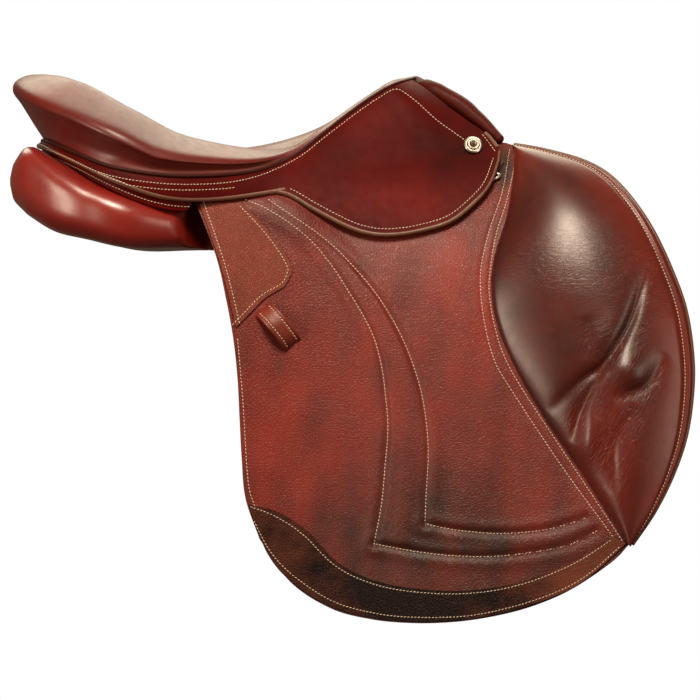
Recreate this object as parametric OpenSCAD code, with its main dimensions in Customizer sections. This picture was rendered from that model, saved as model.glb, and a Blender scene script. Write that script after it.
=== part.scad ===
// Jumping saddle: tree, padded seat, skirts and flaps that lift, panels, billets and stirrup bars.
// Millimetres. +X points to the horse's head, +Y to the rider's left and +Z up.
// The origin lies on the centre line, level with the panels' bearing on the horse's back.
// Modules whose pieces come in pairs draw the right-hand one, at negative Y, and are mirrored.

/* [Seat] */
// Head nail to the middle of the cantle, the size a saddle is sold by
seat_length = 451; // [431:1:471]
// Width of the seat across its welt
seat_width = 290; // [276:1:304]
// Height of the cantle rim above the welt
cantle_height = 63; // [54:1:70]
// How far the cantle rim leans out behind the welt
cantle_lean = 19; // [10:1:24]
// Height of the welt behind the cantle
cantle_welt_z = 108; // [101:1:115]
// Height of the welt at the pommel
pommel_z = 170; // [163:1:177]
// Place of the pommel's front along the saddle
pommel_x = 162; // [156:1:168]
// Thickness of the seat leather
seat_leather_t = 2.6; // [2:0.1:3.2]
// Thickness of the seat foam under the rider
seat_foam_t = 12; // [8:0.5:14]
// Diameter of the piped welt
welt_d = 4.4; // [3.4:0.1:5]

/* [Skirt] */
// Thickness of the skirt leather
skirt_t = 4; // [3:0.1:5]
// Depth of the band under the seat, at the side of the cantle
band_width = 22; // [18:1:26]
// Drop of the skirt's lobe below its fold
lobe_drop = 63; // [54:1:70]
// Width of the facing strip round the back
facing_width = 11; // [9:0.5:13]

/* [Fold] */
// Place of the rear end of the fold
fold_rear_x = 25; // [19:1:31]
// Height of the fold at its rear end
fold_rear_z = 56; // [53:1:59]
// Place of the front end of the fold
fold_front_x = 242; // [236:1:248]
// Height of the fold at its front end
fold_front_z = 96; // [93:1:99]
// Half width of the saddle at the front end of the fold
fold_front_w = 67; // [63:1:71]
// How fast the fold spreads towards the rear, as a slope in plan
fold_spread = 0.222; // [0.2:0.002:0.24]

/* [Flap] */
// Length of the flap from its top rear corner to its lowest point
flap_drop = 395; // [375:1:415]
// Width of the flap from its top rear corner to the front of its hem
flap_width = 409; // [395:1:420]
// Thickness of the flap leather
flap_t = 5; // [4:0.1:6]
// Thickness of the patch and the hem sewn on the flap
trim_t = 1.5; // [1:0.1:2]
// Height of the knee block above the flap
block_height = 27; // [20:1:32]
// Length of the keeper for the stirrup leather
keeper_length = 45; // [38:1:52]
// Width of the keeper strap
keeper_width = 21; // [16:1:25]
// Clear height under the keeper
keeper_gap = 8; // [6:0.5:10]

/* [Panel] */
// Width of one panel under the cantle, as a share of the seat's width
panel_share = 0.393; // [0.36:0.003:0.414]
// Thickness of one panel under the cantle
panel_depth = 62; // [54:1:66]
// Half width of the channel between the panels
channel_half = 37; // [33:1:40]
// How far the panels reach behind the seat's welt
panel_tail = 21; // [16:1:26]
// Thickness of the sweat flap
sweat_t = 3; // [2:0.1:4]

/* [Billets] */
// Width of a billet
billet_width = 25; // [22:1:28]
// Thickness of a billet
billet_t = 4.5; // [3.5:0.1:5]
// Length of a billet
billet_length = 290; // [260:1:300]
// Spacing of the billets along the saddle
billet_pitch = 42; // [36:1:46]
// Diameter of a girth hole
hole_d = 5.5; // [4.5:0.1:7]
// Girth holes in each billet
hole_count = 6; // [3:1:8]
// Spacing of the girth holes
hole_pitch = 22; // [18:1:25]
// Height of the buckle guard
guard_height = 80; // [60:1:90]

/* [Stirrup bar] */
// Length of the stirrup bar
bar_length = 58; // [50:1:62]
// Height of the stirrup bar
bar_height = 12; // [9:0.5:13]
// Thickness of the stirrup bar
bar_t = 7; // [6:0.5:8]
// Gap behind the bar for the stirrup leather
bar_gap = 9; // [8:0.5:10]
// Length of the safety catch
catch_length = 22; // [16:1:24]
// Diameter of the catch's pin
catch_pin_d = 3.2; // [2.4:0.1:4]

/* [Fittings] */
// Diameter of a head nail
nail_d = 17.5; // [14:0.5:20]
// Wire of the front dee
dee_wire = 3.4; // [2.6:0.1:3.6]
// Inside width of the front dee
dee_width = 15; // [12:0.5:17]
// Diameter of a tree rivet
rivet_d = 6; // [5:0.5:8]
// Thickness of the tree's shell
tree_t = 8; // [6:0.5:9]
// Thickness of the gullet plate
steel_t = 3; // [2:0.5:3.5]

/* [Hidden] */
$fn = 48;

// Clearance between leathers that lie on each other
lay = 0.3;
// Clearance of a pin in its bore
pin_play = 0.25;
// Gap between the fixed skirt and its lobe, each side of the fold
fold_gap = 0.4;

// Curve helpers
function lerp(a, b, t) = a + (b - a) * t;
function clamp01(t) = min(max(t, 0), 1);
function smooth(t) = let (c = clamp01(t)) c * c * (3 - 2 * c);
function unit(v) = v / norm(v);
function hump(t) = sin(180 * clamp01(t));
function end_of(p) = p[len(p) - 1];
function mirrored(p) = [p.x, -p.y, p.z];
// A point of the right half, or its mirror image for a positive side
function to_side(p, side) = side > 0 ? mirrored(p) : p;

// Point at u, counted in points, on a smooth curve through the points p
function curve_at(p, u) =
  let (n = len(p) - 1, i = min(floor(u), n - 1), f = u - i, b = p[i], c = p[i + 1])
  let (a = i > 0 ? p[i - 1] : 2 * b - c, d = i < n - 1 ? p[i + 2] : 2 * c - b)
  (2 * b + (c - a) * f + (2 * a - 5 * b + 4 * c - d) * f * f + (3 * b - a - 3 * c + d) * f * f * f) / 2;
function curve(p, t) = curve_at(p, clamp01(t) * (len(p) - 1));

// Point of a patch bounded by four curves: top and bottom run rear to front, the others downwards
function patch(top, bottom, rear, front, u, v) =
  lerp(curve(top, u), curve(bottom, u), v) + lerp(curve(rear, v), curve(front, v), u)
  - lerp(lerp(top[0], end_of(top), u), lerp(bottom[0], end_of(bottom), u), v);

// Solid between two grids of points. A folded grid has its last row closed on itself.
module slab(a, b, folded = false) {
  n = len(a);
  m = len(a[0]);
  k = n * m;
  function id(i, j) = i * m + (folded && i == n - 1 ? min(j, m - 1 - j) : j);
  function tris(p, q, r, s) = [[p, q, r], [p, r, s]];
  faces = concat(
    [for (i = [0:n - 2], j = [0:m - 2])
      each tris(id(i, j), id(i + 1, j), id(i + 1, j + 1), id(i, j + 1))],
    [for (i = [0:n - 2], j = [0:m - 2])
      each tris(k + id(i, j), k + id(i, j + 1), k + id(i + 1, j + 1), k + id(i + 1, j))],
    [for (i = [0:n - 2]) each tris(id(i + 1, 0), id(i, 0), k + id(i, 0), k + id(i + 1, 0))],
    [for (i = [0:n - 2])
      each tris(id(i, m - 1), id(i + 1, m - 1), k + id(i + 1, m - 1), k + id(i, m - 1))],
    [for (j = [0:m - 2]) each tris(id(0, j), id(0, j + 1), k + id(0, j + 1), k + id(0, j))],
    folded ? [] : [for (j = [0:m - 2])
      each tris(id(n - 1, j + 1), id(n - 1, j), k + id(n - 1, j), k + id(n - 1, j + 1))]
  );
  // Two of the four corners of a folded cell meet, which leaves a face with no area
  real_faces = [for (f = faces) if (f[0] != f[1] && f[1] != f[2] && f[2] != f[0]) f];
  polyhedron([for (g = [a, b], row = g, p = row) p], real_faces, convexity = 8);
}

// Solid through a row of closed rings, with flat ends
module loft(rings) {
  n = len(rings);
  m = len(rings[0]);
  sides = [for (i = [0:n - 2], j = [0:m - 1])
    let (p = i * m + j, q = i * m + (j + 1) % m) each [[p, q, q + m], [p, q + m, p + m]]];
  caps = [for (j = [1:m - 2]) each [[0, j + 1, j], [(n - 1) * m, (n - 1) * m + j, (n - 1) * m + j + 1]]];
  polyhedron([for (r = rings, p = r) p], concat(sides, caps), convexity = 8);
}

// Places its children at p, with x along ex and z along ez
module at_frame(p, ex, ez) {
  ey = cross(ez, ex);
  multmatrix([[ex.x, ey.x, ez.x, p.x], [ex.y, ey.y, ez.y, p.y], [ex.z, ey.z, ez.z, p.z], [0, 0, 0, 1]])
    children();
}

module left() {
  mirror([0, 1, 0]) children();
}

// Side of the saddle: the outer face of the skirt's lobe, swelling from the fold over the rider's leg

// Length over which the fold turns straight in plan, at its front
fold_ease = 30;
// Swell below the fold, the drop over which it grows, and the steady splay under it
belly = 45;
belly_drop = 60;
splay = 0.18;
// Share of the swell at the deepest point of the seat and at the front
belly_rear = 0.5;
belly_front = 1;
fold_slope = (fold_front_z - fold_rear_z) / (fold_front_x - fold_rear_x);
function fold_z(x) = fold_rear_z + fold_slope * (x - fold_rear_x);
function fold_w(x) =
  let (q = fold_front_x - x)
  fold_front_w + fold_spread * (q + sqrt(q * q + fold_ease * fold_ease) - fold_ease) / 2;
function swell(d) =
  d > 0 ? belly * (1 - exp(-d / belly_drop)) + splay * d : (belly / belly_drop + splay) * d;
function side_w(x, z) =
  fold_w(x) + lerp(belly_rear, belly_front, smooth(x / fold_front_x)) * swell(fold_z(x) - z);
// Point on the right side, inset from its outer face
function on_side(x, z, inset) = [x, inset - side_w(x, z), z];
function side_normal(x, z) =
  unit([side_w(x - 1, z) - side_w(x + 1, z), -2, side_w(x, z - 1) - side_w(x, z + 1)]);
function side_forward(x, z) = unit([2, side_w(x - 1, z) - side_w(x + 1, z), 0]);
// Children stand on the right side with x forward, y up and z outward
module stand_on_side(x, z, inset) {
  at_frame(on_side(x, z, inset), side_forward(x, z), side_normal(x, z)) children();
}

// Slope of the straight line that the skirt's lobe and the flap turn about
hinge_angle = atan(fold_slope);

// Seat ribs, from the pommel round to the middle of the cantle. Each rib runs from the welt over the rim
// to the centre line: share of the way back, share of half the width, share of the height between
// cantle and pommel, share of the rim's height, lean of the rim, place and height of its inner end.
// Rise from the nail to the cantle, the nail's place behind the fold's front, and the welt under the rim
nail_rise = 60;
nail_back = 22;
cantle_tuck = 3;
nail_x = fold_front_x - nail_back;
cantle_x = nail_x - sqrt(pow(seat_length, 2) - pow(fold_front_w, 2) - pow(nail_rise, 2));
welt_rear_x = cantle_x + cantle_lean - cantle_tuck;
rib_shapes = [
  [0.000, 0.050, 1.000, 0.020, -0.10, 0.000, 1.005],
  [0.056, 0.248, 0.885, 0.032, -0.30, 0.060, 0.946],
  [0.103, 0.303, 0.730, 0.040, -0.30, 0.105, 0.794],
  [0.166, 0.365, 0.466, 0.048, -0.30, 0.165, 0.553],
  [0.241, 0.448, 0.116, 0.080, -0.20, 0.233, 0.278],
  [0.326, 0.576, -0.277, 0.170, -0.10, 0.310, 0.080],
  [0.418, 0.724, -0.497, 0.330, 0.10, 0.405, -0.069],
  [0.533, 0.870, -0.575, 0.485, 0.20, 0.510, -0.144],
  [0.655, 0.980, -0.573, 0.655, 0.35, 0.600, -0.150],
  [0.780, 0.993, -0.452, 0.900, 0.45, 0.665, -0.110],
  [0.886, 0.810, -0.213, 0.985, 0.60, 0.704, -0.064],
  [0.970, 0.495, -0.036, 1.000, 0.80, 0.728, -0.040],
  [1.000, 0.000, 0.011, 1.000, 1.00, 0.733, -0.032]
];
rib_last = len(rib_shapes) - 1;
// The rib past the middle repeats the one before it, so that the two halves meet smoothly
ribs = concat(rib_shapes, [[for (k = [0:6]) rib_shapes[rib_last - 1][k] * (k == 1 ? -1 : 1)]]);
function rib(u) = curve_at(ribs, u);
function way_back(share) = lerp(pommel_x, welt_rear_x, share);
function seat_level(share) = lerp(cantle_welt_z, pommel_z, share);
// Welt on the right side, and the level direction pointing out of the seat there
function welt(u) = let (r = rib(u)) [way_back(r[0]), -r[1] * seat_width / 2, seat_level(r[2])];
function rib_out(u) =
  let (h = 0.02, t = welt(min(u, rib_last) + h) - welt(max(u - h, 0)))
  u >= rib_last ? [-1, 0, 0] : unit([-t.y, t.x, 0]);

// Ribs where the roll and the rim start to change towards the cantle, and the ribs that it takes
roll_rib = 10;
roll_ease = 2.3;
rim_rib = 6;
rib_ease = 3;
// Key points on a rib's outer face, as shares of the nose's lean and height
cove = [0.3, 0.33];
brow = [0.75, 0.72];
// The rim's roll: its height at the sides and at the cantle, and its most as a share of the rim's height
roll_side = 34;
roll_rear = 15;
roll_most = 0.7;
nose_lean = 1.26;
// The way in to the roll's crest, at the sides and at the cantle
crest_side = 56;
crest_rear = 18;
// The roll's shoulder: its way in as a share of the crest's, its drops as shares of the roll, and its inset
shoulder_in = 0.22;
shoulder_side = 0.6;
shoulder_rear = 0.3;
shoulder_inset = 0.7;
// Width of the rim inside its crest, its most as a share of the way to the centre line, and the dish
rim_flat = 16;
crest_most = 0.38;
rim_most = 0.55;
rim_dip_side = 0.97;
rim_dip_rear = 0.8;
dish = 0.14;
// Start of the seat leather above the welt line
seat_foot = 1.6;
// Seat surface on rib u, v from the welt to the centre line, inset from the leather's outer face
function seat_point(u, v, inset) =
  let (r = rib(u), w = welt(u), n = rib_out(u), up = r[3] * cantle_height, z = [0, 0, 1])
  let (back = smooth((u - roll_rib) / roll_ease), tall = min(lerp(roll_side, roll_rear, back), roll_most * up))
  let (lean = nose_lean * r[4] * cantle_lean, nose = up - tall)
  let (c = [way_back(r[5]), 0, seat_level(r[6]) - inset], in = [c.x - w.x, c.y - w.y, 0], span = norm(in))
  let (crest = min(lerp(crest_side, crest_rear, back), crest_most * span))
  let (flat = min(crest + rim_flat, rim_most * span), drop = lerp(shoulder_side, shoulder_rear, back) * tall)
  let (dip = lerp(rim_dip_side, rim_dip_rear, smooth((u - rim_rib) / rib_ease)))
  let (rim = w + n * lean + in / span * flat + z * (dip * up - inset))
  curve([
    w + z * seat_foot - n * inset,
    w + n * (cove[0] * lean - inset) + z * cove[1] * nose,
    w + n * (brow[0] * lean - inset) + z * brow[1] * nose,
    w + n * (lean - inset) + z * nose,
    w + n * (lean - shoulder_inset * inset) + in / span * shoulder_in * crest
      + z * (up - drop - shoulder_inset * inset),
    w + n * lean + in / span * crest + z * (up - inset),
    rim,
    lerp(rim, c, 0.5) - z * dish * (rim.z - c.z),
    c
  ], v);
// Grid across the whole seat, on the same rows and columns for the leather and the foam
seat_rows = 22;
seat_cols = 12;
function seat_grid(first_row, edge_col, edge_inset, mid_inset) =
  [for (i = [first_row:seat_rows]) let (u = rib_last * i / seat_rows) [
    for (j = [edge_col - seat_cols:seat_cols - edge_col])
      let (k = seat_cols - abs(j), inset = lerp(mid_inset, edge_inset, abs(j) / (seat_cols - edge_col)))
      to_side(seat_point(u, k / seat_cols, inset), j)
  ]];
foam_first_row = 3;
foam_edge_col = 7;
foam_edge_t = 4;
seat_foam_top = seat_leather_t + lay;

module seat_leather() {
  color("#5e1a14")
    slab(seat_grid(0, 0, 0, 0), seat_grid(0, 0, seat_leather_t, seat_leather_t), true);
}

module seat_foam() {
  color("#d9cfa8")
    slab(seat_grid(foam_first_row, foam_edge_col, seat_foam_top, seat_foam_top),
         seat_grid(foam_first_row, foam_edge_col, seat_foam_top + foam_edge_t,
                   seat_foam_top + seat_foam_t), true);
}

// Path round the seat, right front to left front, as pairs of rib number and side
function around_path(u_from, steps) = [for (i = [-steps:steps]) [lerp(rib_last, u_from, abs(i) / steps), i]];

welt_sides = 6;
welt_steps = 26;
// Rib where the welt starts, and how far it stands out of the seat
welt_from = 0.05;
welt_stand = 1;
welt_drop = 1.2;
module seat_welt() {
  rings = [for (q = around_path(welt_from, welt_steps)) [
    for (k = [0:welt_sides - 1])
      let (a = -360 * k / welt_sides, n = rib_out(q[0]))
      to_side(welt(q[0]) + n * (welt_stand + cos(a) * welt_d / 2)
        + [0, 0, sin(a) * welt_d / 2 - welt_drop], q[1])
  ]];
  color("#3a1410") loft(rings);
}

// Fixed skirt: the leather between the welt and the fold, running back as the band round the cantle

// Rib where the lower edge leaves the fold and becomes the band
band_rib = 6;
// Share of the fold, from its front, where each rib in front of the band ends
fold_shares = [0, 0.185, 0.315, 0.463, 0.62, 0.8, 1];
// Depth and spread of the band behind the fold, as shares of its width
band_shapes = [[1.07, 0.14], [0.98, 0.14], [0.59, 0.14], [0.43, 0.1], [0.34, 0.18], [0.28, 0.3]];
function lower_edge(i) =
  let (x = lerp(fold_front_x, fold_rear_x, fold_shares[min(i, band_rib)]), s = band_shapes[i - band_rib - 1])
  i <= band_rib
    ? [x, -fold_w(x), fold_z(x)]
    : welt(i) + rib_out(i) * s[1] * band_width - [0, 0, s[0] * band_width];
lower_edges = concat([for (i = [0:rib_last]) lower_edge(i)], [mirrored(lower_edge(rib_last - 1))]);
// Room between the welt line and the top of the skirt
skirt_head = welt_d / 2 + welt_drop + 1;
// Bulge of the skirt, and the width of leather that it takes
skirt_bulge = 6;
bulge_span = 60;
// The leather's thickness runs level at the fold and leans up towards the welt
skirt_lean = 55;
function fold_side(u) = unit(lerp([0, -1, 0], rib_out(u), smooth((u - band_rib) / rib_ease)));
function skirt_out(u, v) =
  let (a = skirt_lean * (1 - v)) unit(lerp(rib_out(u), fold_side(u), smooth(2 * v))) * cos(a) + [0, 0, sin(a)];
function skirt_point(u, v, inset) =
  let (low = curve_at(lower_edges, u) + [0, 0, fold_gap], top = welt(u) + unit(low - welt(u)) * skirt_head)
  let (bulge = skirt_bulge * min(1, norm(low - top) / bulge_span) * 4 * v * (1 - v))
  lerp(top, low, v) + skirt_out(u, v) * (bulge - inset);
skirt_rows = 26;
skirt_cols = 5;
// The two halves of the band stop short of each other behind the cantle
skirt_end = rib_last - 0.02;
function skirt_grid(inset) = [for (i = [0:skirt_rows]) [
  for (j = [0:skirt_cols]) skirt_point(skirt_end * i / skirt_rows, j / skirt_cols, inset)]];
module skirt() {
  color("#6a1c16") slab(skirt_grid(skirt_t), skirt_grid(0));
}

// Lobe of the skirt: share of the fold from its rear, and share of the lobe's drop
lobe_shape = [[0.05, 0.1], [0.18, 0.39], [0.32, 0.71], [0.42, 0.89], [0.52, 0.98], [0.64, 1], [0.78, 0.94],
  [0.89, 0.71], [0.955, 0.48], [0.995, 0.15]];
// Share of the fold where the lobe's upper edge starts
lobe_from = 0.04;
lobe_rows = 20;
lobe_cols = 6;
function lobe_point(t, v, inset) =
  let (low = curve(lobe_shape, t), s = lerp(lerp(lobe_from, 1, t), low.x, v))
  let (x = lerp(fold_rear_x, fold_front_x, s), d = lerp(fold_gap, low.y * lobe_drop, v))
  on_side(x, fold_z(x) - d, inset);
function lobe_grid(inset) = [for (i = [0:lobe_rows]) [
  for (j = [0:lobe_cols]) lobe_point(i / lobe_rows, j / lobe_cols, inset)]];
module skirt_lobe() {
  color("#6a1c16") slab(lobe_grid(0), lobe_grid(skirt_t));
}

// Strip that covers the seam between the band and the panel, round the back
facing_t = 3;
// Height of the strip that is hidden behind the band
facing_tuck = 3;
facing_steps = 18;
facing_front_rib = band_rib + 1.35;
facing_inset = skirt_t + 2;
function facing_point(q, v, inset) =
  let (n = rib_out(q[0]))
  to_side(curve_at(lower_edges, q[0]) - n * inset
    + [0, 0, facing_tuck - v * (facing_width + facing_tuck)], q[1]);
function facing_grid(inset) =
  [for (q = around_path(facing_front_rib, facing_steps)) [for (j = [0:2]) facing_point(q, j / 2, inset)]];
module rear_facing() {
  color("#8e2a1c") slab(facing_grid(facing_inset + facing_t), facing_grid(facing_inset));
}

// Facing of the head: a padded roll inside the front edges of the two skirts, over the pommel
facing_roll = 7;
facing_front = 6;
facing_sides = 8;
roll_steps = 14;
// Clearance of the roll from the skirt
roll_room = 2.7;
facing_end = 0.9;
facing_ahead = unit([0.75, 0, 0.66]);
function facing_axis(t) =
  let (p = skirt_point(0, facing_end * t, skirt_t + roll_room + facing_roll) + facing_ahead * facing_front)
  [p.x, p.y * smooth(5 * t), p.z];
function facing_ring(i) =
  let (t = abs(i), h = 0.03, d = facing_axis(t + h) - facing_axis(max(t - h, 0)))
  let (across = unit(cross(t == 0 ? [0, -1, 0] : d, facing_ahead)))
  [for (k = [0:facing_sides - 1])
    let (a = 360 * k / facing_sides)
    to_side(facing_axis(t) + facing_roll * (facing_ahead * cos(a) + across * sin(a)), i)];
module pommel_facing() {
  color("#6b3324") loft([for (i = [-roll_steps:roll_steps]) facing_ring(i / roll_steps)]);
}

// Flap: its edges as shares of its width and of its drop, from its top rear corner
flap_reach = 72;
flap_below = 11.5;
flap_rear_x = fold_rear_x - flap_reach;
flap_top_z = fold_rear_z - flap_below;
function flap_place(p) = [flap_rear_x + p.x * flap_width, flap_top_z - p.y * flap_drop];
function flap_places(list) = [for (p = list) flap_place(p)];
// The top edge dips under the lobe, to clear the stirrup bar
flap_top = flap_places([[0, 0], [0.172, -0.027], [0.325, -0.055], [0.385, -0.02], [0.435, 0.015],
  [0.505, 0.015], [0.57, 0], [0.62, -0.025], [0.657, -0.08], [0.692, -0.12], [0.749, -0.141]]);
flap_rear = flap_places([[0, 0], [0.048, 0.13], [0.071, 0.23], [0.088, 0.325], [0.098, 0.42], [0.103, 0.515],
  [0.108, 0.61], [0.117, 0.707], [0.149, 0.803]]);
flap_hem = flap_places([[0.149, 0.803], [0.22, 0.905], [0.313, 0.967], [0.406, 0.992], [0.499, 1],
  [0.592, 0.997], [0.684, 0.984], [0.776, 0.96], [0.868, 0.919], [0.96, 0.855], [1, 0.813]]);
flap_seam = flap_places([[0.749, -0.141], [0.742, -0.06], [0.726, 0.03], [0.698, 0.12], [0.688, 0.195],
  [0.697, 0.275], [0.735, 0.38], [0.81, 0.515], [0.893, 0.64], [1, 0.813]]);
function flap_at(u, v) = patch(flap_top, flap_hem, flap_rear, flap_seam, u, v);

// The flap lies close under the lobe, and is drawn in at its head to leave room for the fittings
head_recess = 9;
head_recess_drop = 70;
// Place in front of the fold's rear where the recess begins, and the length over which it grows
head_recess_from = 20;
head_recess_ease = 60;
function flap_inset(x, z) =
  skirt_t + fold_gap
  + head_recess * exp(-pow(max(fold_z(x) - z, 0) / head_recess_drop, 2))
  * smooth((x - fold_rear_x - head_recess_from) / head_recess_ease);
// Point over the flap's outer face, raised by a height
function over_flap(x, z, height) = on_side(x, z, flap_inset(x, z) - height);
flap_rows = 24;
flap_cols = 17;
function flap_grid(height) = [for (i = [0:flap_rows]) [
  for (j = [0:flap_cols]) let (q = flap_at(i / flap_rows, j / flap_cols)) over_flap(q.x, q.y, height)]];
module flap() {
  color("#7a2a20") slab(flap_grid(0), flap_grid(-flap_t));
}

// Knee block: a stuffed pad between the flap's front seam and its own round edge
block_edge = flap_places([[0.763, -0.135], [0.82, -0.128], [0.9, -0.106], [0.962, -0.069], [1.014, -0.01],
  [1.06, 0.065], [1.1, 0.155], [1.132, 0.25], [1.147, 0.35], [1.148, 0.44], [1.133, 0.55], [1.102, 0.645],
  [1.058, 0.735], [1.008, 0.81]]);
block_seam_gap = 1;
block_brim = 4;
block_swell = 0.72;
// Places on the end humps where the block starts and stops, and their roundness
block_ends = [0.05, 0.98];
block_end_swell = 0.6;
// Ends of the seam that the block is sewn along
block_seam_ends = [0.012, 0.994];
block_rows = 8;
block_cols = 18;
function block_point(u, v, inner) =
  let (s = curve(flap_seam, lerp(block_seam_ends[0], block_seam_ends[1], u)) + [block_seam_gap, 0])
  let (q = lerp(s, curve(block_edge, u), v))
  let (crown = pow(hump(v), block_swell) * pow(hump(lerp(block_ends[0], block_ends[1], u)), block_end_swell))
  over_flap(q.x, q.y, inner ? -flap_t : lerp(0, block_brim, v) + crown * block_height);
function block_grid(inner) = [for (j = [0:block_rows]) [
  for (i = [0:block_cols]) block_point(i / block_cols, j / block_rows, inner)]];
module knee_block() {
  color("#4a2018") slab(block_grid(false), block_grid(true));
}

// Hem strip of tougher leather along the flap's lower edge
hem_upper = flap_places([[0.125, 0.721], [0.188, 0.739], [0.252, 0.78], [0.318, 0.85], [0.384, 0.89],
  [0.474, 0.915], [0.61, 0.924], [0.74, 0.906], [0.868, 0.856], [0.966, 0.795]]);
hem_lower = flap_places([[0.136, 0.762], [0.172, 0.845], [0.225, 0.906], [0.316, 0.963], [0.41, 0.988],
  [0.505, 0.996], [0.64, 0.989], [0.776, 0.955], [0.89, 0.903], [0.992, 0.812]]);
hem_rows = 28;
hem_cols = 3;
function hem_grid(height) = [for (i = [0:hem_rows]) [for (j = [0:hem_cols])
  let (t = i / hem_rows, q = lerp(curve(hem_upper, t), curve(hem_lower, t), j / hem_cols))
  over_flap(q.x, q.y, height)]];
module hem_strip() {
  color("#4a2219") slab(hem_grid(lay + trim_t), hem_grid(lay));
}

// Rear patch, where the flap wears on the panel's edge
patch_top = flap_places([[0.008, 0.001], [0.06, -0.002], [0.11, 0.001]]);
patch_front = flap_places([[0.11, 0.001], [0.165, 0.062], [0.203, 0.115], [0.221, 0.15], [0.221, 0.17],
  [0.205, 0.2]]);
patch_bottom = flap_places([[0.094, 0.297], [0.125, 0.264], [0.16, 0.228], [0.205, 0.2]]);
patch_rear = flap_places([[0.008, 0.001], [0.052, 0.13], [0.075, 0.215], [0.094, 0.297]]);
patch_rows = 8;
patch_cols = 10;
function rear_patch_grid(height) = [for (i = [0:patch_rows]) [for (j = [0:patch_cols])
  let (q = patch(patch_top, patch_bottom, patch_rear, patch_front, i / patch_rows, j / patch_cols))
  over_flap(q.x, q.y, height)]];
module rear_patch() {
  color("#7d4334") slab(rear_patch_grid(lay + trim_t), rear_patch_grid(lay));
}

// Keeper: a strap bowed over the flap, for the loose end of the stirrup leather
keeper_t = 3;
// Middle of the keeper, as shares of the flap's width and drop
keeper_place = [0.1907, 0.2962];
keeper_x = flap_place(keeper_place).x;
keeper_z = flap_place(keeper_place).y;
keeper_seat = 0.9;
keeper_turn = -51;
function bow_radius(span, rise) = (span * span / 4 + rise * rise) / (2 * rise);
module bow(span, rise) {
  r = bow_radius(span, rise);
  translate([0, rise - r])
    circle(r);
}
module keeper() {
  rise = keeper_gap + keeper_t;
  color("#6b2a20")
    stand_on_side(keeper_x, keeper_z, flap_inset(keeper_x, keeper_z) - keeper_seat)
      rotate([0, 0, keeper_turn])
        rotate([90, 0, 0])
          linear_extrude(keeper_width, center = true)
            difference() {
              intersection() {
                bow(keeper_length, rise);
                translate([-keeper_length / 2, 0]) square([keeper_length, rise]);
              }
              bow(keeper_length - 2 * keeper_t, keeper_gap);
            }
}

// Billets hang in one flat plane inside the flap
billet_inset = 24;
billet_x = 132;
billet_top_z = -2;
// Drop over which the plane follows the lean of the side
billet_plane_drop = 290;
billet_foot_z = billet_top_z - billet_plane_drop;
billet_top_w = side_w(billet_x, billet_top_z) - billet_inset;
billet_slope = (side_w(billet_x, billet_foot_z) - billet_inset - billet_top_w) / (billet_top_z - billet_foot_z);
billet_lean = atan(billet_slope);
function billet_w(z) = billet_top_w + billet_slope * (billet_top_z - z);
// Children stand in the billets' plane with x forward, y inward and z up
module in_billet_plane() {
  translate([billet_x, -billet_top_w, billet_top_z]) rotate([-billet_lean, 0, 0]) children();
}
billet_tip = 14;
first_hole = 30;
module billet(row) {
  half = billet_width / 2;
  foot = -billet_length;
  color("#5a2a1e")
    in_billet_plane()
      translate([row * billet_pitch, billet_t, 0])
        difference() {
          rotate([90, 0, 0])
            linear_extrude(billet_t)
              polygon([[-half, 0], [half, 0], [half, foot + billet_tip], [half / 2, foot], [-half / 2, foot],
                [-half, foot + billet_tip]]);
          for (k = [0:hole_count - 1])
            translate([0, -billet_t - 1, foot + first_hole + k * hole_pitch])
              rotate([-90, 0, 0])
                cylinder(d = hole_d, h = billet_t + 2);
        }
}

// Webbing that the billets are sewn to
web_t = 2.5;
web_rise = 40;
web_lap = 50;
web_width = 2 * billet_pitch + billet_width + 8;
module girth_web() {
  color("#cfc4a6")
    in_billet_plane()
      translate([-web_width / 2, billet_t + lay, -web_lap])
        cube([web_width, web_t, web_rise + web_lap]);
}

// Buckle guard: a sleeve of leather that slides on the billets
guard_t = 3;
guard_band = 16;
guard_top = 66;
guard_side = 2;
guard_width = 2 * billet_pitch + billet_width + 2 * (lay + guard_side);
module buckle_guard() {
  color("#6b3324")
    in_billet_plane()
      translate([-guard_width / 2, 0, -guard_top - guard_height]) {
        translate([0, -lay - guard_t, 0]) cube([guard_width, guard_t, guard_height]);
        translate([0, billet_t + lay, guard_height - guard_band]) cube([guard_width, web_t, guard_band]);
        for (x = [0, guard_width - guard_side])
          translate([x, -lay - guard_t / 2, guard_height - guard_band])
            cube([guard_side, billet_t + 2 * lay + guard_t / 2 + web_t / 2, guard_band]);
      }
}

// Sweat flap, between the billets and the panel
sweat_top = flap_places([[0.14, 0.085], [0.3, 0.05], [0.5, 0.02], [0.69, -0.005]]);
sweat_rear = flap_places([[0.14, 0.085], [0.16, 0.3], [0.19, 0.55], [0.26, 0.72]]);
sweat_bottom = flap_places([[0.26, 0.72], [0.4, 0.8], [0.6, 0.8], [0.82, 0.68]]);
sweat_front = flap_places([[0.69, -0.005], [0.78, 0.16], [0.83, 0.4], [0.82, 0.68]]);
// Room inside the flap above the billets
sweat_head_inset = 17.5;
sweat_room = 0.2;
sweat_inset = billet_t + 2 * lay + web_t + sweat_room;
function sweat_w(x, z) = min(side_w(x, z) - sweat_head_inset, billet_w(z) - sweat_inset);
sweat_cells = 14;
function sweat_grid(inset) = [for (i = [0:sweat_cells]) [for (j = [0:sweat_cells])
  let (q = patch(sweat_top, sweat_bottom, sweat_rear, sweat_front, i / sweat_cells, j / sweat_cells))
  [q.x, inset - sweat_w(q.x, q.y), q.y]]];
module sweat_flap() {
  color("#5a241b") slab(sweat_grid(0), sweat_grid(sweat_t));
}

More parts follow.
